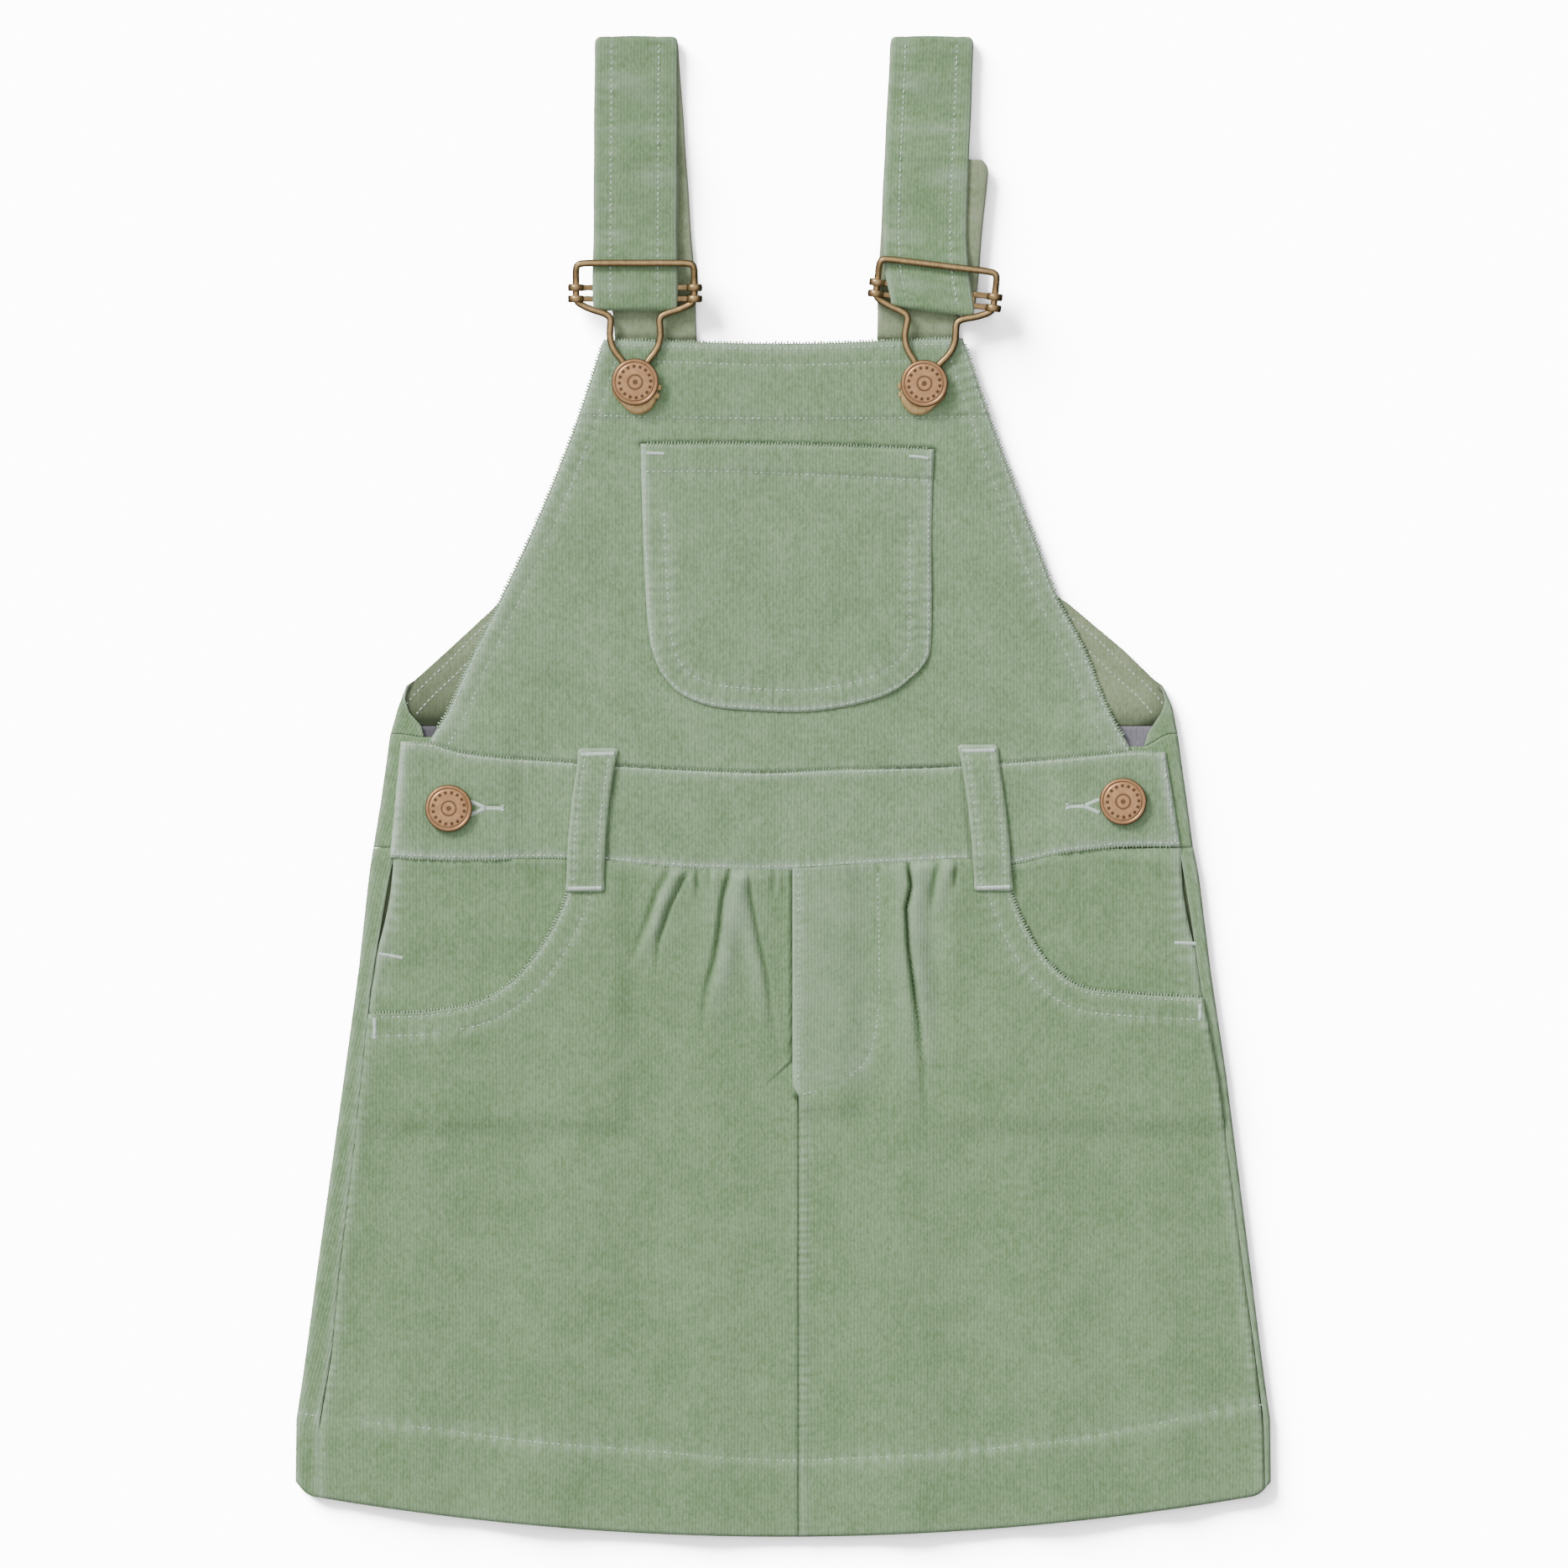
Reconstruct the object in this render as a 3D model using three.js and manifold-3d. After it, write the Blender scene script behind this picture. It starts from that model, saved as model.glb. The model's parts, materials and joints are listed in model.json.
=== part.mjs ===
// A child's corduroy pinafore dress, laid flat on its back with the front upward.
// Millimetres. X runs across the dress, Y from the hem to the strap tops, Z up from the surface.

import * as THREE from "three";
import { mergeVertices } from "three/addons/utils/BufferGeometryUtils.js";
import Module from "manifold-3d";

const wasm = await Module();
wasm.setup();

// Driving dimensions
const CLOTH = 1.2;
const SEAM = 0.3;
const FOLD_GAP = 0.4;
const BAND_THICK = 2.0;
const FACED_THICK = 2.0;
const STRAP_THICK = 1.5;
const STRAP_HALF = 15.2;
const WIRE_RADIUS = 0.95;
const HEM_LOW = -273.7;
const HEM_RISE = 0.0005;
const HEM_CORNER = { from: 171, width: 7, rise: 8 };
const TOP = 273.7;

// Heights of the layers above the surface
const FRONT_LOW = CLOTH + FOLD_GAP;
const OVER_LOW = FRONT_LOW + CLOTH + SEAM;
const BIB_LOW = STRAP_THICK + SEAM;
const STRAP_STEP = STRAP_THICK + SEAM;

// Side folds of the dress: how far each side reaches at each height
const SIDES = [
  { y: 66.5, left: -105, right: 105 },
  { y: 48, left: -124.5, right: 126.5 },
  { y: 36, left: -137.5, right: 138.5 },
  { y: 28, left: -140.5, right: 142 },
  { y: 17.5, left: -143.5, right: 144 },
  { y: -7, left: -147, right: 147.5 },
  { y: -22, left: -149.5, right: 149.5 },
  { y: -31.5, left: -151, right: 151.5 },
  { y: -68, left: -155, right: 156 },
  { y: -105, left: -160, right: 161.5 },
  { y: -178, left: -170, right: 170.5 },
  { y: -238, left: -177.6, right: 177.6 },
  { y: -274, left: -178, right: 178 },
];

// Side seams: where the front skirt meets the turned edge of the back skirt
const SEAMS = [
  { y: -22, left: -141.5, right: 144.5 },
  { y: -46.5, left: -146, right: 148.5 },
  { y: -74, left: -150.5, right: 152.5 },
  { y: -105, left: -153.5, right: 158.5 },
  { y: -141.5, left: -157.5, right: 163.2 },
  { y: -179, left: -162, right: 168 },
  { y: -207, left: -164.5, right: 171.8 },
  { y: -234, left: -169, right: 175 },
  { y: -274, left: -169.5, right: 176 },
];

// Turned edge of the back bodice under each arm: how far it comes round onto the front
const UNDERARM = [
  { y: 17.5, flap: 11 },
  { y: 27, flap: 4.2 },
  { y: 34, flap: 0.6 },
  { y: 37, flap: -2 },
  { y: 66.5, flap: -2 },
];

// Upper outline of the back bodice, most of it behind the bib
const BACK_EDGE = [
  { y: 66.5, half: 103 },
  { y: 80, half: 91 },
  { y: 100, half: 75 },
  { y: 118, half: 66 },
];

// Edges of the front waistband, left to right
const BAND_TOP = [
  [-139.5, 16.5], [-129, 16], [-116.5, 12.5], [-75, 9], [-10.5, 5.5], [22, 6.5], [64.5, 8], [102, 10.5],
  [129, 13], [139.5, 12.5],
];
const BAND_BOTTOM = [
  [-143.5, -26], [-120, -27], [-79.5, -26.5], [-53, -28.5], [-32.5, -30], [1, -30.5], [33.5, -28.5],
  [68.5, -27], [82.5, -28.5], [102, -24.5], [124.5, -22], [145, -22],
];

// Edges of the bib, from the top corners down to the waistband
const BIB_LEFT = [[-65.5, 163], [-75, 134], [-84.5, 109.5], [-92.5, 91], [-105, 64.5], [-114.5, 45.5],
  [-122.5, 27.5], [-129, 16.6]];
const BIB_RIGHT = [[65.5, 163.5], [75.5, 134], [84.5, 109.5], [91.5, 91], [100, 69], [109.5, 51],
  [119, 27.5], [127, 13.3]];
const BIB_TOP = [[-65.5, 163], [0, 161.5], [65.5, 163.5]];
const FACING_DEPTH = 28;

// Edges of the bib pocket
const POCKET_TOP = [[-52, 125], [-26, 125.2], [12, 124.6], [55, 123]];
const POCKET_LEFT = [[-52, 125], [-51.5, 102.5], [-49.5, 60.5], [-48, 50], [-45, 42]];
const POCKET_RIGHT = [[55, 123], [54.2, 95], [54, 54], [53, 47], [49.5, 42]];
const POCKET_BOTTOM = [[-45, 42], [-38.5, 34.5], [-27.5, 29.5], [-10, 27.6], [8, 27.2], [27, 30],
  [40, 34.5], [49.5, 42]];
const POCKET_HEM = 8.5;
const POCKET_HEM_THICK = 0.4;

// Scoop edges of the skirt pockets, from the waistband out to the side seam
const SCOOP_LEFT = [[-78.5, -27], [-78.5, -38], [-86, -55], [-97, -69.5], [-108.5, -77.5], [-128, -82],
  [-151.2, -83]];
const SCOOP_RIGHT = [[82.5, -29], [83, -37.5], [88, -50.5], [97, -64.5], [108.5, -73], [126, -75.5],
  [153, -77]];
const BAG_REACH = { inner: 68, bottom: -113 };
// The bag's outer edge bows away from the side seam at the placket and draws in below the scoop
const PLACKET = { from: -26, length: 34, bow: 2.4 };
const BAG_TUCK = { from: -84, to: -92, depth: 5 };

// Centre front: lapped edge above, plain seam below
const LAP = { edge: 3.4, under: 20, foot: -109, seam: 5.7 };

// Gathers under the waistband: each ridge runs from its head to its foot and fades out there
const GATHERS = [
  { x: -43, y: -33, footX: -54, footY: -64, half: 5.5, height: 1.3 },
  { x: -43.5, y: -44, footX: -46, footY: -72, half: 3.2, height: 1.2 },
  { x: -31.5, y: -29, footX: -31, footY: -44, half: 3, height: 0.9 },
  { x: -19, y: -30, footX: -28.5, footY: -95, half: 3.6, height: 1.8 },
  { x: -11.5, y: -36, footX: 1, footY: -105, half: 4.4, height: 1.5 },
  { x: -3.5, y: -30, footX: -1, footY: -44, half: 2.8, height: 1.0 },
  { x: 45, y: -28, footX: 52, footY: -122, half: 4, height: 2.0 },
  { x: 56, y: -27, footX: 52, footY: -56, half: 3.6, height: 1.3 },
  { x: 64, y: -27, footX: 62.5, footY: -42, half: 3, height: 0.8 },
];

// Long soft waves in the skirt, each a line from the waist to the hem
const WAVES = [
  { head: -120, foot: -136, half: 13, height: 0.9 },
  { head: -62, foot: -92, half: 16, height: 1.3 },
  { head: -18, foot: -30, half: 13, height: 0.9 },
  { head: 38, foot: 46, half: 14, height: 1.1 },
  { head: 78, foot: 104, half: 15, height: 1.2 },
  { head: 128, foot: 143, half: 12, height: 0.8 },
];

const BELT_LOOPS = [
  { name: "belt_loop_left", topX: -67.3, footX: -72.3, topY: 14, footY: -38.5 },
  { name: "belt_loop_right", topX: 70.8, footX: 76.8, topY: 15.3, footY: -38.2 },
];
const LOOP_HALF = 6.9;

// Buckles hang from the bib buttons. The right one lies turned a little clockwise.
const BUCKLES = [
  { side: "left", x: -54, y: 147.5, turn: 0 },
  { side: "right", x: 51.5, y: 147, turn: -7 },
];
const CROSSBAR = { y: 32.4, half: 16, deep: 5.4, thick: 1.2, z: 4.2, lug: 2.1, lugWall: 0.95 };
const WIRE = { half: 21.6, top: 43.4, topZ: 7.9, lowZ: 5.2 };

// Straps: centre line of each run, with its tilt in degrees
const STRAPS = [
  {
    name: "strap_left",
    back: [{ x: -44.5, y: 118.6, tilt: 0 }, { x: -46.5, y: 164, tilt: 2 }, { x: -53.5, y: 272.05, tilt: 0 }],
    front: [{ x: -53.6, y: 272.05, tilt: 0 }, { x: -54, y: 189, tilt: 0 }, { x: -54, y: 176.9, tilt: 0 }],
    tail: [{ x: -54, y: 176.9, tilt: 0 }, { x: -53, y: 229, tilt: 1 }],
  },
  {
    name: "strap_right",
    back: [{ x: 47.5, y: 118.6, tilt: 0 }, { x: 49.2, y: 164, tilt: -2 }, { x: 54.2, y: 272.05, tilt: 0 }],
    front: [{ x: 54.3, y: 272.05, tilt: 0 }, { x: 52, y: 193, tilt: -4 }, { x: 54.6, y: 176.6, tilt: -7 }],
    tail: [{ x: 54.6, y: 176.6, tilt: -7 }, { x: 60, y: 229, tilt: -2 }],
  },
];

const BUTTONS = [
  { name: "bib_button_left", x: -54, y: 147.5, base: BIB_LOW + FACED_THICK + SEAM, cap: 6.5 },
  { name: "bib_button_right", x: 51.5, y: 147, base: BIB_LOW + FACED_THICK + SEAM, cap: 6.5 },
  { name: "waist_button_left", x: -122, y: -8, base: OVER_LOW + BAND_THICK + SEAM, cap: 5.8 },
  { name: "waist_button_right", x: 124, y: -5.5, base: OVER_LOW + BAND_THICK + SEAM, cap: 5.8 },
];
const CAP_RADIUS = 8.6;
const NECK_RADIUS = 2.4;

// Finishes
const SAGE = { color: 0x8a9a82, roughness: 0.95, metalness: 0 };
const SAGE_INSIDE = { color: 0x99a088, roughness: 0.95, metalness: 0 };
const BRASS = { color: 0x8a6a48, roughness: 0.4, metalness: 0.9 };

const dress = new THREE.Group();

function add(name, geometry, finish) {
  const mesh = new THREE.Mesh(geometry, new THREE.MeshStandardMaterial(finish));
  mesh.name = name;
  dress.add(mesh);
  return mesh;
}

// Small helpers for numbers and lines

function mix(a, b, t) {
  return a + (b - a) * t;
}

function smooth(from, to, value) {
  const t = Math.min(1, Math.max(0, (value - from) / (to - from)));
  return t * t * (3 - 2 * t);
}

// Value of one column of a table at height y, the rows running downward
function columnAt(table, column, y) {
  if (y >= table[0].y) return table[0][column];
  for (let i = 1; i < table.length; i++) {
    if (y >= table[i].y) {
      const t = (table[i - 1].y - y) / (table[i - 1].y - table[i].y);
      return mix(table[i - 1][column], table[i][column], t);
    }
  }
  return table[table.length - 1][column];
}

// Value of one column of a table at height y, the rows running upward
function columnAtRising(table, column, y) {
  return columnAt([...table].reverse(), column, y);
}

// Evenly spaced points on a smooth line through the given ones
function spaced(points, count) {
  const flat = points.map(([x, y]) => new THREE.Vector3(x, y, 0));
  const line = new THREE.CatmullRomCurve3(flat, false, "centripetal");
  return line.getSpacedPoints(count).map((p) => [p.x, p.y]);
}

// Height of a smooth line at x, the line running left to right
function heightOn(points, x) {
  const fine = spaced(points, 200);
  for (let i = 1; i < fine.length; i++) {
    if (x <= fine[i][0]) {
      return mix(fine[i - 1][1], fine[i][1], (x - fine[i - 1][0]) / (fine[i][0] - fine[i - 1][0]));
    }
  }
  return fine[fine.length - 1][1];
}

// Points of a smooth line between two x values
function stretchOf(points, fromX, toX, count, drop = 0) {
  return Array.from({ length: count + 1 }, (_, i) => {
    const x = mix(fromX, toX, i / count);
    return [x, heightOn(points, x) - drop];
  });
}

// The hem sags in the middle and its corners are rounded
function hemHeight(x) {
  const corner = Math.min(1, Math.max(0, (Math.abs(x) - HEM_CORNER.from) / HEM_CORNER.width));
  return HEM_LOW + HEM_RISE * x * x + HEM_CORNER.rise * (1 - Math.sqrt(1 - corner * corner));
}

// Plan grid inside four edges, each a list of points
function between(top, bottom, left, right) {
  const rows = left.length - 1;
  const cols = top.length - 1;
  const corners = [top[0], top[cols], bottom[0], bottom[cols]];
  return left.map((_, j) => top.map((__, i) => {
    const s = i / cols;
    const t = j / rows;
    return [0, 1].map((axis) => {
      const across = mix(left[j][axis], right[j][axis], s);
      const down = mix(top[i][axis], bottom[i][axis], t);
      const upper = mix(corners[0][axis], corners[1][axis], s);
      const lower = mix(corners[2][axis], corners[3][axis], s);
      return across + down - mix(upper, lower, t);
    });
  }));
}

// Closed wall between two grids of points, joined round the rim
function wall(upper, lower) {
  const rows = upper.length;
  const cols = upper[0].length;
  const points = [...upper.flat(), ...lower.flat()];
  const offset = rows * cols;
  const index = [];
  const quad = (a, b, c, d) => index.push(a, b, c, a, c, d);
  for (let j = 0; j < rows - 1; j++) {
    for (let i = 0; i < cols - 1; i++) {
      const a = j * cols + i;
      quad(a, a + cols, a + cols + 1, a + 1);
      quad(offset + a, offset + a + 1, offset + a + cols + 1, offset + a + cols);
    }
  }
  const rim = [];
  for (let i = 0; i < cols - 1; i++) rim.push(i);
  for (let j = 0; j < rows - 1; j++) rim.push(j * cols + cols - 1);
  for (let i = cols - 1; i > 0; i--) rim.push((rows - 1) * cols + i);
  for (let j = rows - 1; j > 0; j--) rim.push(j * cols);
  rim.forEach((a, k) => {
    const b = rim[(k + 1) % rim.length];
    quad(a, b, offset + b, offset + a);
  });
  const geometry = new THREE.BufferGeometry();
  geometry.setAttribute("position", new THREE.Float32BufferAttribute(points.flat(), 3));
  geometry.setIndex(index);
  return geometry;
}

// Cloth panel over a plan grid: low gives its underside, thick its thickness
function panel(grid, low, thick = () => CLOTH) {
  const lower = grid.map((row) => row.map(([x, y]) => [x, y, low(x, y)]));
  const upper = grid.map((row) => row.map(([x, y]) => [x, y, low(x, y) + thick(x, y)]));
  return wall(upper, lower);
}

// Back panels, which come round the side folds onto the front

const FOLD_RADIUS = (FOLD_GAP + CLOTH) / 2;
const FOLD_HEIGHT = CLOTH + FOLD_GAP / 2;
const FOLD_REACH = FOLD_RADIUS + CLOTH / 2;
const HALF_ARC = (Math.PI / 2) * FOLD_RADIUS;
const BACK_COLS = 8;
const BACK_TOP = 118;
// Height of the lowest point where the bodice's back outline leaves its side folds
const FOLD_TOP = 66.5;
const BODICE_ROWS = [0, 0.2, 0.4, 0.52, 0.62, 0.72, 0.8, 0.84, 0.88, 0.92, 0.96, 1];

// Point of a back panel's middle surface at a distance from the fold, with its outward direction
function foldPoint(side, inward, distance) {
  const centre = side + inward * FOLD_REACH;
  if (distance > HALF_ARC) {
    return { x: centre + inward * (distance - HALF_ARC), z: FOLD_HEIGHT + FOLD_RADIUS, nx: 0, nz: 1 };
  }
  if (distance < -HALF_ARC) {
    return { x: centre - inward * (distance + HALF_ARC), z: CLOTH / 2, nx: 0, nz: -1 };
  }
  const angle = distance / FOLD_RADIUS;
  const nx = -inward * Math.cos(angle);
  const nz = Math.sin(angle);
  return { x: centre + nx * FOLD_RADIUS, z: FOLD_HEIGHT + nz * FOLD_RADIUS, nx, nz };
}

// Section of a back panel at one height, from its left edge round the back to its right edge
function backSection(y, leftFlap, rightFlap, backCols) {
  const half = (side, inward, edge) => {
    const steps = [edge];
    for (const part of [1, 0.45, 0, -0.45, -1]) {
      steps.push(Math.min(part * HALF_ARC, steps[steps.length - 1] - CLOTH / 10));
    }
    return steps.map((distance) => foldPoint(side, inward, distance));
  };
  const left = half(columnAt(SIDES, "left", y), 1, leftFlap);
  const right = half(columnAt(SIDES, "right", y), -1, rightFlap).reverse();
  const from = left[left.length - 1].x;
  const to = right[0].x;
  const middle = [];
  for (let i = 1; i < backCols; i++) {
    middle.push({ x: mix(from, to, i / backCols), z: CLOTH / 2, nx: 0, nz: -1 });
  }
  return [...left, ...middle, ...right];
}

// Back panel between two edges, with its turned edges. heights are shares of the way down.
function backPanel(heights, topY, bottomY, flaps) {
  const outer = [];
  const inner = [];
  for (const t of heights) {
    const guide = mix(topY(0), bottomY(150), t);
    const { left, right } = flaps(guide);
    const section = backSection(guide, left, right, BACK_COLS);
    const place = (p, sign) => {
      const y = mix(topY(p.x), bottomY(p.x), t);
      return [p.x + sign * p.nx * CLOTH / 2, y, p.z + sign * p.nz * CLOTH / 2];
    };
    outer.push(section.map((p) => place(p, 1)));
    inner.push(section.map((p) => place(p, -1)));
  }
  return wall(inner, outer);
}

function evenly(count) {
  return Array.from({ length: count + 1 }, (_, i) => i / count);
}

// Distance of the turned edge from the fold, from how far it reaches in plan
function flapFor(reach) {
  return reach - FOLD_REACH + HALF_ARC;
}

const BAND_BACK_TOP = 18.3;
const BAND_BACK_BOTTOM = -22.3;
const BAND_BACK_REACH = 104;
const SKIRT_BACK_TOP = BAND_BACK_BOTTOM - SEAM;

function skirtFlaps(y) {
  return {
    left: flapFor(columnAt(SEAMS, "left", y) - columnAt(SIDES, "left", y)),
    right: flapFor(columnAt(SIDES, "right", y) - columnAt(SEAMS, "right", y)),
  };
}

function bandFlaps(y) {
  return {
    left: flapFor(-BAND_BACK_REACH - columnAt(SIDES, "left", y)),
    right: flapFor(columnAt(SIDES, "right", y) - BAND_BACK_REACH),
  };
}

function bodiceFlaps(y) {
  const turned = columnAtRising(UNDERARM, "flap", y);
  const drawnIn = y > FOLD_TOP ? SIDES[0].right - columnAtRising(BACK_EDGE, "half", y) : 0;
  return { left: turned - drawnIn, right: turned - drawnIn };
}

function backSkirt() {
  return backPanel(evenly(20), () => SKIRT_BACK_TOP, hemHeight, skirtFlaps);
}

function backWaistband() {
  return backPanel(evenly(4), () => BAND_BACK_TOP, () => BAND_BACK_BOTTOM, bandFlaps);
}

function backBodice() {
  return backPanel(BODICE_ROWS, () => BACK_TOP, () => BAND_BACK_TOP + SEAM, bodiceFlaps);
}

// Front skirt, which rises over the pocket bags, the lap and the gathers

function overBag(x, y) {
  const beside = smooth(BAG_REACH.inner - 15, BAG_REACH.inner - 5, Math.abs(x));
  return beside * smooth(BAG_REACH.bottom - 16, BAG_REACH.bottom - 6, y);
}

function overLap(x, y) {
  return (1 - smooth(LAP.under + 1, LAP.under + 12, x)) * smooth(LAP.foot - 14, LAP.foot - 5, y);
}

function gatherHeight(x, y) {
  let height = 0;
  for (const g of GATHERS) {
    const t = (g.y - y) / (g.y - g.footY);
    const away = x - mix(g.x, g.footX, t);
    const fade = (1 - smooth(0.45, 1.15, t)) * smooth(-0.35, 0.05, t);
    height = Math.max(height, g.height * fade * Math.exp(-((away / g.half) ** 2)));
  }
  return height;
}

function waveHeight(x, y) {
  const t = (y + 30) / (HEM_LOW + 30);
  const fade = smooth(0.12, 0.55, t);
  let height = 0;
  for (const w of WAVES) {
    const away = x - mix(w.head, w.foot, t);
    height += w.height * fade * Math.exp(-((away / w.half) ** 2));
  }
  return height;
}

function frontFree(x, y) {
  const seam = x < 0 ? columnAt(SEAMS, "left", y) : columnAt(SEAMS, "right", y);
  return smooth(0, 12, Math.abs(seam) - Math.abs(x));
}

function skirtLow(x, y, lapped) {
  const lift = Math.max(overBag(x, y), lapped ? overLap(x, y) : 0);
  const under = lapped ? 1 : 1 - smooth(LAP.edge - 6, LAP.edge - 1, x) * smooth(LAP.foot - 5, LAP.foot, y);
  const folds = (gatherHeight(x, y) + waveHeight(x, y)) * frontFree(x, y) * under;
  return FRONT_LOW + lift * (OVER_LOW - FRONT_LOW) + folds;
}

function seamLine(side, fromY, toY, count, inset) {
  return Array.from({ length: count + 1 }, (_, i) => {
    const y = mix(fromY, toY, i / count);
    return [columnAt(SEAMS, side, y) + inset, y];
  });
}

function frontSkirt(side) {
  const isLeft = side === "left";
  const scoop = isLeft ? SCOOP_LEFT : SCOOP_RIGHT;
  const inset = isLeft ? SEAM : -SEAM;
  const scoopRows = 8;
  const seamRows = 14;
  const cols = 22;
  const seamTop = scoop[scoop.length - 1][1];
  const hemX = columnAt(SEAMS, side, hemHeight(175)) + inset;
  const outerEdge = spaced(scoop, scoopRows);
  outerEdge[0][1] = heightOn(BAND_BOTTOM, outerEdge[0][0]) - SEAM;
  outerEdge[scoopRows] = [columnAt(SEAMS, side, seamTop) + inset, seamTop];
  outerEdge.push(...seamLine(side, seamTop, hemHeight(hemX), seamRows, inset).slice(1));
  const laps = isLeft ? LAP.under : LAP.edge;
  const seamX = isLeft ? LAP.seam - SEAM / 2 : LAP.seam + SEAM / 2;
  const lapFoot = isLeft ? LAP.foot + 8 : LAP.foot;
  const innerTop = heightOn(BAND_BOTTOM, laps) - SEAM;
  const innerEdge = [
    ...spaced([[laps, innerTop], [laps, lapFoot]], scoopRows),
    ...spaced([[seamX, LAP.foot - 4], [seamX, hemHeight(seamX)]], seamRows - 1),
  ];
  const top = stretchOf(BAND_BOTTOM, outerEdge[0][0], laps, cols, SEAM);
  const bottom = Array.from({ length: cols + 1 }, (_, i) => {
    const x = mix(hemX, seamX, i / cols);
    return [x, hemHeight(x)];
  });
  const grid = isLeft ? between(top, bottom, outerEdge, innerEdge)
    : between([...top].reverse(), [...bottom].reverse(), innerEdge, outerEdge);
  return panel(grid, (x, y) => skirtLow(x, y, !isLeft));
}

// Back of a scoop pocket: fills the scoop and runs on under the front as a rounded bag
function pocketBag(side) {
  const isLeft = side === "left";
  const sign = isLeft ? -1 : 1;
  const rows = 12;
  const cols = 10;
  const outer = [];
  for (let j = 0; j <= rows; j++) {
    const y = mix(-28, -96, j / rows);
    const along = Math.min(1, Math.max(0, (PLACKET.from - y) / PLACKET.length));
    const tuck = BAG_TUCK.depth * smooth(BAG_TUCK.from, BAG_TUCK.to, y);
    const drawnIn = PLACKET.bow * Math.sin(Math.PI * along) + tuck;
    outer.push([columnAt(SEAMS, side, y) - sign * (2 * SEAM + drawnIn), y]);
  }
  const underBand = (x) => Math.min(heightOn(BAND_BOTTOM, x) - SEAM, BAND_BACK_BOTTOM - 3 * SEAM);
  outer[0][1] = underBand(outer[0][0]);
  const innerX = sign * BAG_REACH.inner;
  const inner = spaced([[innerX, heightOn(BAND_BOTTOM, innerX) - SEAM],
    [innerX, -70], [innerX + sign * 4, -94], [innerX + sign * 14, -106]], rows);
  const top = evenly(cols).map((t) => mix(outer[0][0], innerX, t)).map((x) => [x, underBand(x)]);
  const bottom = spaced([outer[rows], [sign * 132, -109], [sign * 108, -112], inner[rows]], cols);
  const grid = isLeft ? between(top, bottom, outer, inner)
    : between([...top].reverse(), [...bottom].reverse(), inner, outer);
  return panel(grid, () => FRONT_LOW);
}

// What lies over the turned ends of the back band is lifted there
function endLift(x) {
  return smooth(BAND_BACK_REACH - 10, BAND_BACK_REACH - 1, Math.abs(x));
}

function frontWaistband() {
  const cols = 36;
  const rows = 5;
  const top = spaced(BAND_TOP, cols);
  const bottom = spaced(BAND_BOTTOM, cols);
  const left = spaced([BAND_TOP[0], BAND_BOTTOM[0]], rows);
  const right = spaced([BAND_TOP[BAND_TOP.length - 1], BAND_BOTTOM[BAND_BOTTOM.length - 1]], rows);
  const low = (x) => mix(FRONT_LOW, OVER_LOW, endLift(x));
  return panel(between(top, bottom, left, right), low, () => BAND_THICK);
}

// Bib, doubled by its facing along the top
function bibThick(x, y) {
  const facingFoot = heightOn(BIB_TOP, x) - FACING_DEPTH;
  return mix(CLOTH, FACED_THICK, smooth(facingFoot - 1.5, facingFoot + 1.5, y));
}

// The lower corners of the bib lie over the turned ends of the back band
function bibLow(x, y) {
  const lift = endLift(x) * (1 - smooth(BAND_BACK_TOP + 2, BAND_BACK_TOP + 14, y));
  return mix(BIB_LOW, OVER_LOW, lift);
}

function bib() {
  const cols = 12;
  const rows = 18;
  const top = spaced(BIB_TOP, cols);
  const [fromX] = BIB_LEFT[BIB_LEFT.length - 1];
  const [toX] = BIB_RIGHT[BIB_RIGHT.length - 1];
  const bottom = stretchOf(BAND_TOP, fromX, toX, cols, -SEAM);
  const left = spaced(BIB_LEFT, rows);
  const right = spaced(BIB_RIGHT, rows);
  left[rows] = bottom[0];
  right[rows] = bottom[cols];
  return panel(between(top, bottom, left, right), bibLow, bibThick);
}

function bibPocket() {
  const cols = 12;
  const rows = 10;
  const [left, right] = [spaced(POCKET_LEFT, rows), spaced(POCKET_RIGHT, rows)];
  const low = (x, y) => BIB_LOW + bibThick(x, y) + SEAM;
  const thick = (x, y) => {
    const inHem = smooth(-POCKET_HEM - 1, -POCKET_HEM + 1, y - heightOn(POCKET_TOP, x));
    return CLOTH + POCKET_HEM_THICK * inHem;
  };
  return panel(between(spaced(POCKET_TOP, cols), spaced(POCKET_BOTTOM, cols), left, right), low, thick);
}

// Belt loop, lying over the waistband with its ends on the bib and the skirt
const LOOP_ROWS = [
  { y: 15.4, z: BIB_LOW + CLOTH },
  { y: 13, z: BIB_LOW + CLOTH },
  { y: 9.4, z: FRONT_LOW + BAND_THICK },
  { y: -18, z: FRONT_LOW + BAND_THICK },
  { y: -26, z: OVER_LOW + CLOTH },
  { y: -39, z: OVER_LOW + CLOTH },
];

function beltLoop(loop) {
  const heights = [loop.topY, 12.6, 10.4, 6, -6, -18, -26, -32, loop.footY];
  const grid = heights.map((y) => {
    const x = mix(loop.topX, loop.footX, (loop.topY - y) / (loop.topY - loop.footY));
    return [-1, -0.5, 0, 0.5, 1].map((part) => [x + part * LOOP_HALF, y]);
  });
  const low = (x, y) => {
    const overGathers = gatherHeight(x, Math.min(y, -27)) * smooth(-20, -26, y);
    return columnAt(LOOP_ROWS, "z", y) + SEAM + overGathers;
  };
  return panel(grid, low);
}

// Straps: one strip with its back run, top fold, front run, lower fold and tail

const STRAP_LOW = STRAP_THICK / 2;
const TAIL_Z = STRAP_LOW + STRAP_STEP;
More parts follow.
